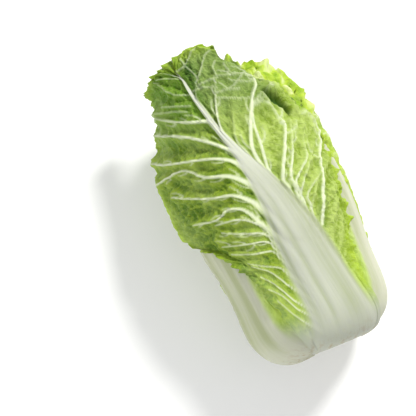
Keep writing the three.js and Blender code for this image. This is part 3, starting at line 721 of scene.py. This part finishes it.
class Half:
    """One half of a leaf on its fine grid: its relief, its points and the fields that its material reads."""

    def __init__(self, leaf, side):
        self.leaf, self.side = leaf, side
        self.seed = 300 + 10 * leaf.order + side
        self.x, self.y, self.from_edge, self.along = leaf.flat_half(side, leaf.starts, leaf.columns)
        self.level = leaf.measured[side][0]
        self.bare = np.clip(leaf.measured[side][1], 0, 1)
        place = leaf, side, self.x, self.y
        self.opening = leaf.opening(self.x, self.y)
        self.rib, self.rib_white, self.groove = rib_relief(*place)
        self.vein, self.vein_white, vein_distance, self.shade_beside_veins = vein_relief(*place)
        self.crest, self.crest_shadow_line = crest_of(*place)
        self.fold, self.fold_shade = fold_relief(*place)
        self.off_rib = falling(0.05, 0.4, self.rib_white)
        self.rib_half = leaf.rib_width(self.y)
        self.from_rib = np.abs(self.x) - self.rib_half
        self.high = smoothstep(135, 195, self.y) if leaf.front else 0 * self.y
        self.vein_distance = np.minimum(vein_distance, mix(FAR, np.maximum(self.from_rib, 0), self.high))
        self.crinkle()
        self.frill()
        self.lay()
        self.fields = self.material_fields()

    def noise(self, width, length, shift):
        return value_noise(self.x / width, self.y / length, self.seed + shift)

    def cells(self, warp, width, length, shift):
        return cell_depth((self.x + warp[0]) / width, (self.y + warp[1]) / length, self.seed + shift)

    def crinkle(self):
        """The blade is raised beside the veins, puckered in a net, and swells between them."""
        swelling = {side: half["swelling"] for side, half in self.leaf.halves.items()}
        middle = 0.5 * (swelling[-1] + swelling[1])
        depth = mix(middle, swelling[self.side], smoothstep(0, 14, np.abs(self.x)))
        ridge_side = depth * falling(0, RIDGE_SIDE, self.vein_distance)
        warp = [WARP * self.noise(WARP_SIZE, WARP_SIZE, shift) for shift in (0, 1)]
        self.net = WIDE_NET * falling(0, 0.42, self.cells(warp, *WIDE_CELL, 2))
        self.net = self.net + SMALL_NET * falling(0, 0.5, self.cells(warp, *SMALL_CELL, 8))
        self.crumple = self.noise(8, 11, 10) + 0.6 * self.noise(4, 5, 11)
        swell = SWELL * (self.noise(*SWELL_SIZE, 3) - 0.3)
        beside_rib = smoothstep(-0.5, 1, self.from_rib / (3 + 0.45 * self.rib_half)) * self.off_rib
        free = mix(1, beside_rib, self.high)
        puckers = (self.net + 1.2 * self.crumple + np.maximum(swell, 0)) * free
        relief = (ridge_side + puckers) * (1 - 0.8 * np.maximum(self.fold_shade, self.crest))
        if self.leaf.front:
            relief = relief * mix(LOW_FRONT_RELIEF, 1, smoothstep(90, 145, self.y))
        ruffle = self.cells([2 * w for w in warp], RUFFLE_CELL, RUFFLE_CELL, 12)
        self.curl = self.noise(6.5, 6.5, 13)
        ruffled = CREST_RUFFLE * smoothstep(0.02, 0.6, ruffle) + CREST_CURL * self.curl - CREST_SINK
        relief = relief + self.crest * ruffled
        room = smoothstep(35, 75, self.y) * mix(beside_rib, 1, self.high)
        self.relief = relief * room * mix(COVERED, 1, self.bare) * smoothstep(-3, 5, self.from_edge)

    def frill(self):
        """The edge is waved, toothed and lobed where nothing lies on it, and drawn to where it shows."""
        leaf, side, along, from_edge = self.leaf, self.side, self.along, self.from_edge
        x, y = self.x, self.y
        hidden = falling(150, 200, y) if leaf.name == STALK_LEAF and side < 0 else 0 * y
        shown = between(85, 130, 228, 255, y) if leaf.name == BACK_LEAF and side < 0 else 0 * y
        x = x - side * STALK_PULL * hidden * falling(0, 30, from_edge) * smoothstep(20, 50, y)
        x = x + side * BACK_SHIFT * shown * falling(0, 40, from_edge)
        self.flare = BACK_FLARE * falling(0, 14, from_edge) * shown
        room = mix(COVERED, 1, self.bare) * smoothstep(40, 110, y) * self.off_rib * (1 - hidden)
        room = room * (BACK_FRILL if leaf.name == BACK_LEAF and side < 0 else 1)

        self.toward_edge = falling(0, FRILL_REACH, from_edge)
        phase = along / FRILL_PITCH + 1.6 * value_noise(along / 30, from_edge / 12, self.seed + 4)
        waves = mix(FRILL, CREST_FRILL, self.crest) * swing(2 * math.pi * phase) * self.toward_edge**1.2
        phase = along / RIPPLE_PITCH + 1.5 * value_noise(along / 9, from_edge / 8, self.seed + 5)
        ripples = RIPPLE * swing(2 * math.pi * phase) * self.toward_edge**1.6
        self.waves = (waves + ripples) * room

        tooth = TOOTH * (value_noise(along / TOOTH_PITCH, 0 * along, self.seed + 6) - 0.5)
        lobe = LOBE * (value_noise(along / LOBE_PITCH, 0 * along, self.seed + 7) - 0.5)
        at_edge = falling(0, 9, from_edge) * smoothstep(25, 70, y) * (1 - 0.85 * hidden)
        at_edge[-1] = 0
        x = x + side * (tooth + lobe) * at_edge * np.minimum(1, np.abs(x) / 20)
        if leaf.front:
            pull = curve_through(EDGE_PULL[side])(y)
            x = x - side * pull * falling(0, 30, from_edge) * smoothstep(5, 30, y)
            y = y - 3 * smoothstep(34, 50, x) * smoothstep(272, 302, y)
        self.x, self.y = x, y

    def lay(self):
        """Lays both skins of the half on the body, with their patterns pressed flat near the floor."""
        x, y = self.x, self.y
        point, direction = surface_at(y, self.leaf.angle_at(x, y), self.opening)
        if self.leaf.front:
            corner = between(56, 70, 84, 104, x) * smoothstep(262, 292, y)
            end = falling(0, 30, self.from_edge) * smoothstep(240, 262, y)
            point = point + corner[..., None] * CORNER_SHIFT
            point = point + (curve_through(DROOP)(x) * end)[..., None] * DOWN
            point = point + (curve_through(SWAY)(x) * end)[..., None] * ASIDE
        veins = self.vein * mix(0.4, 1, self.bare) * mix(0.9, 1, self.off_rib) * (1 - 0.9 * self.fold_shade)
        above_floor = (point + direction * self.level[..., None])[..., 2]
        free = np.where(direction[..., 2] < 0, smoothstep(2, 16, above_floor), 1)
        lift = mix(self.level, self.level + self.waves + self.flare + self.fold + 0.8 * self.relief, free)
        thick = BLADE + self.rib + (0.2 * self.relief + veins) * mix(0.3, 1, free)
        self.inner = within_box(point + direction * (lift + 0.1)[..., None])
        self.outer = within_box(point + direction * (lift + thick)[..., None])

    def material_fields(self):
        """Masks for the leaf's material, one value for each place of the grid."""
        x, y, front = self.x, self.y, self.leaf.front
        low_edge = front and self.side < 0
        mid_left = between(110, 150, 190, 235, y) if low_edge else 0 * y
        edge_paled = smoothstep(100, 140, y) if low_edge else smoothstep(20, 60, y)
        vein_white = self.vein_white * (1 - self.fold_shade)
        rib_side = np.exp(-(((self.from_rib - 2.5) / 2.5) ** 2))
        return {
            "rib": self.rib_white,
            # groove: the rib's grooves, which the material darkens with painted shade
            "groove": self.groove * smoothstep(8, 45, y) * mix(0.3, 1, smoothstep(3, 20, self.rib_half)),
            "vein": np.maximum(vein_white * self.off_rib, 0.5 * vein_white),
            "edge": self.toward_edge * self.off_rib * edge_paled,
            "margin": mid_left * falling(6, 34, self.from_edge),
            # low: painted shade in the low places of the puckers and crumples
            "low": falling(0.5, 2.0, self.net + 0.6 * self.crumple),
            "panel": smoothstep(1, 7, self.vein_distance) * self.off_rib,
            # shade: painted shade in the hollow and along the edge of the crest
            "shade": np.maximum(self.fold_shade, self.crest_shadow_line),
            "crest": self.crest,
            # curl: also raises the crest's curls, which the material paints paler as highlight
            "curl": self.curl,
            # painted shade along the big veins, and beside the rib high up
            "vein_and_rib_shade": np.maximum(self.shade_beside_veins, 0.8 * self.high * rib_side) * self.off_rib,
            # side: which half; the material paints the right half lit and the left half shaded
            "side": smoothstep(-8, 8, x) if front else 0.5 + 0 * x,
            # flap: the open end, which the material darkens with painted shade
            "flap": smoothstep(220, 260, y) * falling(58, 82, x) if front else 0 * y,
            "patch": self.noise(26, 26, 9),
        }


# Meshes
FLAT_UNIT = 100  # millimetres of the flat leaf to one unit of its map
WELD = 0.02


def joined(left, right):
    """Both halves as one grid, from the left edge over the rib to the right edge."""
    return np.concatenate([left[:, ::-1], right[:, 1:]], axis=1)


def grid_quads(index):
    return np.stack([index[:-1, :-1], index[:-1, 1:], index[1:, 1:], index[1:, :-1]], -1).reshape(-1, 4)


def new_object(name, vertices, quads):
    mesh = bpy.data.meshes.new(name)
    mesh.vertices.add(len(vertices))
    mesh.vertices.foreach_set("co", (np.asarray(vertices) * MM).ravel())
    mesh.loops.add(quads.size)
    mesh.loops.foreach_set("vertex_index", quads.ravel())
    mesh.polygons.add(len(quads))
    mesh.polygons.foreach_set("loop_start", np.arange(len(quads)) * 4)
    mesh.update(calc_edges=True)
    mesh.validate()
    mesh.shade_smooth()
    thing = bpy.data.objects.new(name, mesh)
    bpy.context.scene.collection.objects.link(thing)
    return thing


def give_flat_map(mesh, places):
    """The map that the patterns follow: where each vertex lies on the flat leaf."""
    corners = np.empty(len(mesh.loops), dtype=np.int32)
    mesh.loops.foreach_get("vertex_index", corners)
    layer = mesh.uv_layers.new(name="flat")
    layer.data.foreach_set("uv", (places[corners] / FLAT_UNIT).ravel())


def leaf_mesh(leaf):
    """The leaf as one closed shell: its two skins, and a wall round its edge."""
    leaf.measure()
    left, right = (Half(leaf, side) for side in SIDES)
    outside, inside = joined(left.outer, right.outer), joined(left.inner, right.inner)
    rows, columns = outside.shape[:2]
    count, last_row = rows * columns, (rows - 1) * columns
    index = np.arange(count).reshape(rows, columns)
    edge_loop = np.concatenate([index[0], index[1:, -1], index[-1, -2::-1], index[-2:0:-1, 0]])
    following = np.roll(edge_loop, -1)
    wall = np.stack([edge_loop + count, following + count, following, edge_loop], -1)
    wall = wall[(edge_loop < last_row) | (following < last_row)]
    quads = np.concatenate([grid_quads(index), grid_quads(index + count)[:, ::-1], wall])
    skins = np.concatenate([outside.reshape(-1, 3), inside.reshape(-1, 3)])
    thing = new_object(leaf.name + "_fine", skins, quads)
    for key in left.fields:
        values = joined(left.fields[key], right.fields[key]).ravel()
        layer = thing.data.attributes.new(key, "FLOAT", "POINT")
        layer.data.foreach_set("value", np.tile(values, 2).astype(np.float32))
    flat = np.stack([joined(left.x, right.x), joined(left.y, right.y)], -1).reshape(-1, 2)
    give_flat_map(thing.data, np.tile(flat, (2, 1)))
    weld(thing)
    return thing


def weld(thing):
    """Joins the two halves beyond the end of the rib."""
    work = bmesh.new()
    work.from_mesh(thing.data)
    bmesh.ops.remove_doubles(work, verts=work.verts, dist=WELD * MM)
    work.to_mesh(thing.data)
    work.free()


# Materials
class Dye:
    """Adds nodes to one material or group, so that masks and colours can be worked out by formula."""

    def __init__(self, tree):
        self.tree = tree

    def node(self, kind, inputs=None, **settings):
        made = self.tree.nodes.new(kind)
        for key, value in settings.items():
            setattr(made, key, value)
        self.feed(made, inputs or {})
        return made

    def feed(self, made, inputs):
        for key, value in inputs.items():
            if isinstance(value, bpy.types.NodeSocket):
                self.tree.links.new(value, made.inputs[key])
            else:
                made.inputs[key].default_value = value

    def noise(self, place, scale, detail, roughness=0.5):
        inputs = {"Vector": place, "Scale": scale, "Detail": detail, "Roughness": roughness}
        return self.node("ShaderNodeTexNoise", inputs).outputs["Fac"]

    def cell_edge(self, place, scale):
        inputs = {"Vector": place, "Scale": scale}
        return self.node("ShaderNodeTexVoronoi", inputs, feature="DISTANCE_TO_EDGE").outputs["Distance"]

    def maths(self, operation, a, b):
        return self.node("ShaderNodeMath", {0: a, 1: b}, operation=operation).outputs[0]

    def times(self, a, b):
        return self.maths("MULTIPLY", a, b)

    def plus(self, a, b):
        return self.maths("ADD", a, b)

    def rest(self, a):
        return self.maths("SUBTRACT", 1.0, a)

    def blend(self, share, a, b):
        inputs = {0: share, 6: a, 7: b}
        return self.node("ShaderNodeMix", inputs, data_type="RGBA", clamp_factor=True).outputs[2]

    def ramp(self, value, low, high):
        inputs = {"Value": value, "From Min": low, "From Max": high}
        return self.node("ShaderNodeMapRange", inputs, interpolation_type="SMOOTHSTEP").outputs["Result"]

    def field(self, name):
        return self.node("ShaderNodeAttribute", attribute_name=name).outputs["Fac"]

    def bump(self, height, strength, distance):
        inputs = {"Height": height, "Strength": strength, "Distance": distance}
        return self.node("ShaderNodeBump", inputs).outputs["Normal"]

    def flat_place(self):
        return self.node("ShaderNodeUVMap", uv_map="flat").outputs["UV"]

    def stretched(self, place, scale):
        return self.node("ShaderNodeMapping", {"Vector": place, "Scale": scale}).outputs[0]


def colour(red, green, blue):
    """A colour given as it looks on a screen, 0 to 255."""
    parts = [c / 255 for c in (red, green, blue)]
    return tuple(c / 12.92 if c <= 0.04045 else ((c + 0.055) / 1.055) ** 2.4 for c in parts) + (1,)


def new_group(name, outputs):
    tree = bpy.data.node_groups.new(name, "ShaderNodeTree")
    for output in outputs:
        tree.interface.new_socket(output, in_out="OUTPUT", socket_type="NodeSocketFloat")
    return Dye(tree)


def new_material(name):
    material = bpy.data.materials.new(name)
    material.use_nodes = True
    return material, Dye(material.node_tree), material.node_tree.nodes["Principled BSDF"]


def fine_net_group():
    """A net of fine veins on the flat leaf: a mask of its lines, its height and a soft mottle."""
    dye = new_group("leaf_net", ("Lines", "Height", "Mottle"))
    place = dye.flat_place()
    warp = dye.node("ShaderNodeTexNoise", {"Vector": place, "Scale": 14.0, "Detail": 2.0}).outputs["Color"]
    inputs = {0: warp, 1: (0.022, 0.022, 0.0), 2: place}
    moved = dye.node("ShaderNodeVectorMath", inputs, operation="MULTIPLY_ADD").outputs[0]
    rungs = []
    for heading in (math.radians(70), math.radians(150)):
        inputs = {"Vector": moved, "Rotation": (0, 0, heading), "Scale": (2.2, 0.8, 1.0)}
        turned = dye.node("ShaderNodeMapping", inputs, vector_type="TEXTURE").outputs[0]
        rungs.append(dye.cell_edge(turned, 34.0))
    ladder = dye.node("ShaderNodeMix", {0: dye.field("side"), 2: rungs[0], 3: rungs[1]}).outputs[0]
    wide_line = dye.rest(dye.ramp(dye.cell_edge(moved, 15.0), 0.0, 0.08))
    fine_line = dye.rest(dye.ramp(ladder, 0.0, 0.24))
    lines = dye.maths("MAXIMUM", wide_line, dye.times(fine_line, 0.45))
    mottle = dye.noise(place, 26.0, 5.0, 0.62)
    height = dye.plus(dye.times(lines, 0.45), dye.times(mottle, 1.3))
    height = dye.plus(height, dye.times(dye.noise(place, 160.0, 3.0), 0.25))
    dye.node("NodeGroupOutput", {"Lines": lines, "Height": height, "Mottle": mottle})
    return dye.tree


def rib_streak_group():
    """Lengthwise streaks of the rib: a mask and a height."""
    dye = new_group("rib_streaks", ("Streaks", "Height"))
    place = dye.flat_place()
    streaks = dye.noise(dye.stretched(place, (34.0, 1.3, 1.0)), 1.0, 3.0, 0.6)
    fibres = dye.noise(dye.stretched(place, (120.0, 3.0, 1.0)), 1.0, 2.0)
    dye.node("NodeGroupOutput", {"Streaks": streaks, "Height": dye.plus(streaks, dye.times(fibres, 0.3))})
    return dye.tree


NET = fine_net_group()
STREAKS = rib_streak_group()
# painted shade: the dark green laid in the hollow and along the crest's edge
PAINTED_SHADE_GREEN = colour(34, 78, 2)
# painted shade of the open end: dark greens for its left and right sides
FLAP_SHADE_GREENS = colour(80, 128, 6), colour(44, 90, 0)
MARGIN_GREEN = colour(172, 200, 72)
# the crest's greens: darker for its low places, palest for its raised curls, as painted shade and painted
# highlight
CREST_SHADE_TO_HIGHLIGHT_GREENS = colour(128, 166, 14), colour(176, 202, 56), colour(216, 226, 160)
VEIN_WHITE = colour(210, 217, 186)
UPPER_RIB_WHITE = colour(198, 202, 186)
FOOT_BROWN = colour(160, 132, 88)


def blade_green(dye, net, along, tones, lit_side_contrast):
    """The blade: darker in the left half of the front leaf, as painted shade beside its painted-lit right
    half, and at its open end, also as painted shade; pale beside the rib.
    """
    # light also serves as the painted light of the lit half, and deep as the painted shade of the other half
    # and beside the veins
    blade, deep, light = tones["blade"], tones["deep"], tones["light"]
    side, flap, curl = dye.field("side"), dye.field("flap"), dye.field("curl")
    mottle = net["Mottle"]
    # painted light: the right half is coloured lighter and the left half darker, as the light falls
    painted_lit_half = dye.times(dye.times(side, dye.rest(flap)), lit_side_contrast)
    # depth: darker green away from the veins, plus painted shade in the low places of the puckers
    depth = dye.times(dye.field("panel"), dye.ramp(mottle, 0.34, 0.58))
    depth = dye.plus(dye.times(depth, 0.75), dye.times(dye.field("low"), 0.55))
    green = dye.blend(depth, dye.blend(painted_lit_half, blade, light), dye.blend(painted_lit_half, deep, blade))
    # the crumpled crest's yellow-green, darker in its low places and palest on its raised curls: painted
    # shade and painted highlight
    crumpled = dye.blend(dye.ramp(curl, 0.2, 0.55), CREST_SHADE_TO_HIGHLIGHT_GREENS[0], CREST_SHADE_TO_HIGHLIGHT_GREENS[1])
    crumpled = dye.blend(dye.ramp(curl, 0.55, 0.95), crumpled, CREST_SHADE_TO_HIGHLIGHT_GREENS[2])
    layers = [
        # painted shade over the open end, deepest on its right side
        (flap, dye.plus(0.72, dye.times(side, 0.26)), dye.blend(side, *FLAP_SHADE_GREENS)),
        (dye.ramp(dye.field("patch"), 0.35, 0.85), 0.3, light),
        (dye.field("edge"), 0.7, tones["edge"]),
        (dye.times(dye.field("margin"), dye.ramp(mottle, 0.38, 0.56)), 0.75, MARGIN_GREEN),
        (dye.field("crest"), 0.85, crumpled),
        (net["Lines"], dye.plus(0.16, dye.times(flap, 0.14)), light),
        (dye.ramp(dye.field("rib"), 0.0, 0.12), 0.5, light),
        # painted shade beside the veins and the rib
        (dye.field("vein_and_rib_shade"), 0.55, deep),
        # painted shade in the hollow and along the crest's edge
        (dye.field("shade"), 0.9, PAINTED_SHADE_GREEN),
        (dye.field("vein"), 0.9, VEIN_WHITE),
    ]
    for mask, strength, tone in layers:
        green = dye.blend(dye.times(mask, strength), green, tone)
    return dye.blend(dye.ramp(along, 0.22, 0.5), tones["rib"], green)


def leaf_material(name, lit_side_contrast, **tones):
    """Green blade with pale veins, frilled edge and white rib; browned a little at the cut foot."""
    tones = {part: colour(*tone) for part, tone in tones.items()}
    material, dye, shader = new_material(name)
    net = dye.node("ShaderNodeGroup", node_tree=NET).outputs
    streaks = dye.node("ShaderNodeGroup", node_tree=STREAKS).outputs
    place = dye.flat_place()
    along = dye.node("ShaderNodeSeparateXYZ", {"Vector": place}).outputs["Y"]
    rib_mask = dye.ramp(dye.field("rib"), 0.06, 0.4)
    # darker in the rib's grooves as painted shade, and along its streaks
    groove_shade_and_streaks = dye.plus(dye.field("groove"), dye.times(streaks["Streaks"], 0.3))
    stem = dye.blend(dye.ramp(groove_shade_and_streaks, 0.3, 0.95), tones["rib"], tones["groove"])
    stem = dye.blend(dye.times(dye.ramp(along, 1.7, 2.3), 0.7), stem, UPPER_RIB_WHITE)
    green = blade_green(dye, net, along, tones, lit_side_contrast)
    foot = dye.rest(dye.ramp(along, 0.06, 0.3))
    browned = dye.times(foot, dye.ramp(dye.noise(place, 22.0, 4.0, 0.7), 0.5, 0.62))
    skin = dye.blend(dye.times(browned, 0.75), dye.blend(rib_mask, green, stem), FOOT_BROWN)

    off_veins = dye.times(dye.rest(dye.times(dye.field("vein"), 0.85)), dye.rest(dye.field("shade")))
    off_veins = dye.times(off_veins, dye.ramp(along, 0.4, 1.0))
    blade_height = dye.times(net["Height"], dye.times(dye.rest(rib_mask), off_veins))
    height = dye.plus(blade_height, dye.times(streaks["Height"], dye.times(rib_mask, 0.35)))
    dye.feed(shader, {
        "Base Color": skin,
        "Normal": dye.bump(height, 0.8, 0.0015),
        "Roughness": dye.plus(0.48, dye.times(net["Mottle"], 0.2)),
        "Specular IOR Level": 0.25,
        "Subsurface Weight": 0.2,
        "Subsurface Radius": (0.9, 1.0, 0.35),
        "Subsurface Scale": 0.002,
    })
    return material


# groove is the painted shade colour of the rib's grooves
FRONT_SKIN = leaf_material(
    "front_leaf", blade=(136, 160, 38), deep=(76, 112, 2), light=(180, 200, 112), edge=(160, 188, 36),
    rib=(180, 184, 167), groove=(148, 157, 120), lit_side_contrast=0.75,
)
OUTER_SKIN = leaf_material(
    "outer_leaf", blade=(146, 172, 56), deep=(100, 136, 20), light=(186, 206, 116), edge=(172, 198, 52),
    rib=(189, 191, 170), groove=(158, 165, 124), lit_side_contrast=0.6,
)
INNER_SKIN = leaf_material(
    "inner_leaf", blade=(178, 194, 84), deep=(150, 174, 50), light=(206, 214, 134), edge=(186, 206, 66),
    rib=(210, 212, 188), groove=(186, 190, 148), lit_side_contrast=0.6,
)


def stump_material():
    """Pale cut stem, grainy, with a few brown blotches."""
    material, dye, shader = new_material("stump")
    place = dye.node("ShaderNodeTexCoord").outputs["Object"]
    grain = dye.noise(place, 260.0, 5.0, 0.65)
    skin = dye.blend(dye.ramp(grain, 0.35, 0.7), colour(232, 224, 190), colour(206, 192, 146))
    skin = dye.blend(dye.ramp(dye.noise(place, 60.0, 3.0), 0.58, 0.75), skin, colour(178, 150, 104))
    dye.feed(shader, {"Base Color": skin, "Normal": dye.bump(grain, 0.5, 0.0008), "Roughness": 0.62})
    return material


# The pieces. Each grid has rows along the leaf, and columns across half its rib and across one blade.
FRONT_GRID = (300, 18, 64)
OUTER_GRID = (220, 16, 44)
INNER_GRID = (150, 12, 30)
HEART_ROWS, HEART_COLUMNS = 120, 180
HEART_CELL = 12
HEART_SLACK = 1.8
HEART_FOLD = 3.6
HEART_MAP_HALF = 60


def build_leaves():
    for order in range(OUTER_LEAVES + INNER_LEAVES):
        grid, skin = (OUTER_GRID, OUTER_SKIN) if order < OUTER_LEAVES else (INNER_GRID, INNER_SKIN)
        if order == 0:
            grid, skin = FRONT_GRID, FRONT_SKIN
        leaf = Leaf(order, *grid)
        piece = leaf_mesh(leaf)
        piece.data.materials.append(skin)
        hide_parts(leaf.name)
        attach(piece, "root")


def build_heart():
    """The heart from its foot to its top, with crumpled folds where its own leaves close over."""
    shape = HEART_ROWS, HEART_COLUMNS
    y = np.broadcast_to(np.linspace(0, station_y[-1] - 1, HEART_ROWS)[:, None], shape)
    angle = np.broadcast_to(np.linspace(0, 2 * math.pi, HEART_COLUMNS, endpoint=False), shape)
    point, direction = surface_at(y, angle, 0 * y)
    aside, aloft = point[..., 0] / HEART_CELL, point[..., 2] / HEART_CELL
    bend = value_noise(1.3 * aside, 1.3 * aloft, 79)
    fold = HEART_FOLD * (smoothstep(0, 0.5, cell_depth(aside + bend, aloft + y / 30, 77)) - 0.8)
    height = smoothstep(215, 255, y) * fold - HEART_SLACK * smoothstep(10, 60, y)
    grid = (point + direction * height[..., None]).reshape(-1, 3)
    index = np.arange(grid.shape[0]).reshape(shape)
    piece = new_object("heart_fine", grid, grid_quads(np.hstack([index, index[:, :1]])))
    close_ends(piece.data, index, grid)
    across = np.append(((angle / math.pi - 1) * HEART_MAP_HALF).ravel(), [0, 0])
    up = np.append(y.ravel(), [0, station_y[-1]])
    give_flat_map(piece.data, np.stack([across, up], -1))
    piece.data.materials.append(INNER_SKIN)
    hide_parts("heart")
    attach(piece, "root")


def close_ends(mesh, index, grid):
    """Closes the heart's foot and its top with a fan of triangles each."""
    work = bmesh.new()
    work.from_mesh(mesh)
    corners = list(work.verts)
    for ring in (index[0], index[-1]):
        pole = work.verts.new(Vector(grid[ring].mean(axis=0) * MM))
        for this, following in zip(ring, np.roll(ring, -1)):
            face = work.faces.new([corners[this], corners[following], pole])
            face.smooth = True
    bmesh.ops.recalc_face_normals(work, faces=work.faces)
    work.to_mesh(mesh)
    work.free()


STUMP_SIDES = 96
STUMP_RIM = 1.6
STUMP_DISH = 1.1
STUMP_DISH_SIDE = 1.2
STUMP_RINGS, STUMP_RING = 5, 3.8
STUMP_BEVEL = 1.0


def build_stump():
    """The cut stem: a disc whose face is slightly dished, with a rounded rim."""
    thick = STUMP_TOP - STUMP_CUT_HEIGHT
    bpy.ops.mesh.primitive_cylinder_add(vertices=STUMP_SIDES, radius=STUMP_RADIUS * MM, depth=thick * MM)
    piece = bpy.context.object
    piece.name = "stump_fine"
    bpy.ops.object.mode_set(mode="EDIT")
    bpy.ops.mesh.select_all(action="DESELECT")
    bpy.ops.object.mode_set(mode="OBJECT")
    for face in piece.data.polygons:
        face.select = face.normal.z > 0.9
    bpy.ops.object.mode_set(mode="EDIT")
    bpy.ops.mesh.inset(thickness=STUMP_RIM * MM)
    bpy.ops.mesh.inset(thickness=STUMP_DISH_SIDE * MM)
    bpy.ops.transform.translate(value=(0, 0, -STUMP_DISH * MM))
    for _ in range(STUMP_RINGS):
        bpy.ops.mesh.inset(thickness=STUMP_RING * MM)
    bpy.ops.mesh.select_all(action="DESELECT")
    bpy.ops.object.mode_set(mode="OBJECT")
    bevel = piece.modifiers.new("rim", "BEVEL")
    bevel.width = STUMP_BEVEL * MM
    bevel.segments = 3
    bevel.limit_method = "ANGLE"
    bpy.ops.object.modifier_apply(modifier="rim")
    piece.rotation_euler = (math.pi / 2 + TILT, 0, 0)
    centre = OFFSET + tilted(np.array([0, stump_centre, 0.0]))
    piece.location = Vector(centre * MM)
    bpy.ops.object.transform_apply(location=True, rotation=True, scale=True)
    bpy.ops.object.shade_smooth_by_angle(angle=math.radians(40))
    piece.data.materials.append(stump_material())
    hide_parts("stump")
    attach(piece, "root")


# Light, floor and camera
CAMERA_AZIMUTH = -24
CAMERA_ELEVATION = 84
CAMERA_DISTANCE = 2.0
PIXELS_PER_METRE = 1000
PICTURE = 416
SENSOR = 36.0
AIM_ALONG = 181  # what the middle of the picture shows: this far from the foot, and this far aside
AIM_ASIDE = -59
AIM_HEIGHT = 75
KEY_POWER, KEY_SIZE, KEY_TINT = 40, 0.45, (1, 0.99, 0.96)
FILL_POWER, FILL_SIZE, FILL_TINT = 14, 1.0, (0.98, 0.99, 1)
SKY = 0.5
FLOOR_SIZE = 8
FLOOR_SHADE = (0.97, 0.97, 0.97, 1)


def lamp(name, place, size, power, tint, target):
    light = bpy.data.lights.new(name, "AREA")
    light.shape = "DISK"
    light.size = size
    light.energy = power
    light.color = tint
    thing = bpy.data.objects.new(name, light)
    bpy.context.scene.collection.objects.link(thing)
    thing.location = place
    thing.rotation_euler = (Vector(target) - Vector(place)).to_track_quat("-Z", "Y").to_euler()


def build_studio():
    scene = bpy.context.scene
    scene.view_settings.view_transform = "Standard"
    world = bpy.data.worlds.new("studio")
    scene.world = world
    world.use_nodes = True
    sky = world.node_tree.nodes["Background"]
    Dye(world.node_tree).feed(sky, {"Color": (1, 1, 1, 1), "Strength": SKY})

    bpy.ops.mesh.primitive_plane_add(size=FLOOR_SIZE)
    floor = bpy.context.object
    floor.name = "floor"
    paint, dye, shader = new_material("pale_floor")
    dye.feed(shader, {"Base Color": FLOOR_SHADE, "Roughness": 0.9})
    floor.data.materials.append(paint)

    aim = Vector((OFFSET[0] + AIM_ASIDE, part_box("outer_leaf_1")[0][1] / MM + AIM_ALONG, AIM_HEIGHT)) * MM
    a, e = math.radians(CAMERA_AZIMUTH), math.radians(CAMERA_ELEVATION)
    back = Vector((math.sin(a) * math.cos(e), -math.cos(a) * math.cos(e), math.sin(e)))
    right = Vector((math.cos(a), math.sin(a), 0))
    up = back.cross(right)
    camera = bpy.data.cameras.new("camera")
    camera.sensor_width = SENSOR
    camera.lens = CAMERA_DISTANCE * PIXELS_PER_METRE * SENSOR / PICTURE
    camera.clip_end = 20
    holder = bpy.data.objects.new("camera", camera)
    scene.collection.objects.link(holder)
    holder.location = aim + back * CAMERA_DISTANCE
    holder.rotation_euler = (-back).to_track_quat("-Z", "Y").to_euler()
    scene.camera = holder

    lamp("key", aim + right * 0.8 + up * 1.25 + back * 1.25, KEY_SIZE, KEY_POWER, KEY_TINT, aim)
    lamp("fill", aim - right * 1.0 - up * 0.9 + back * 1.1, FILL_SIZE, FILL_POWER, FILL_TINT, aim)


build_leaves()
build_heart()
build_stump()
build_studio()
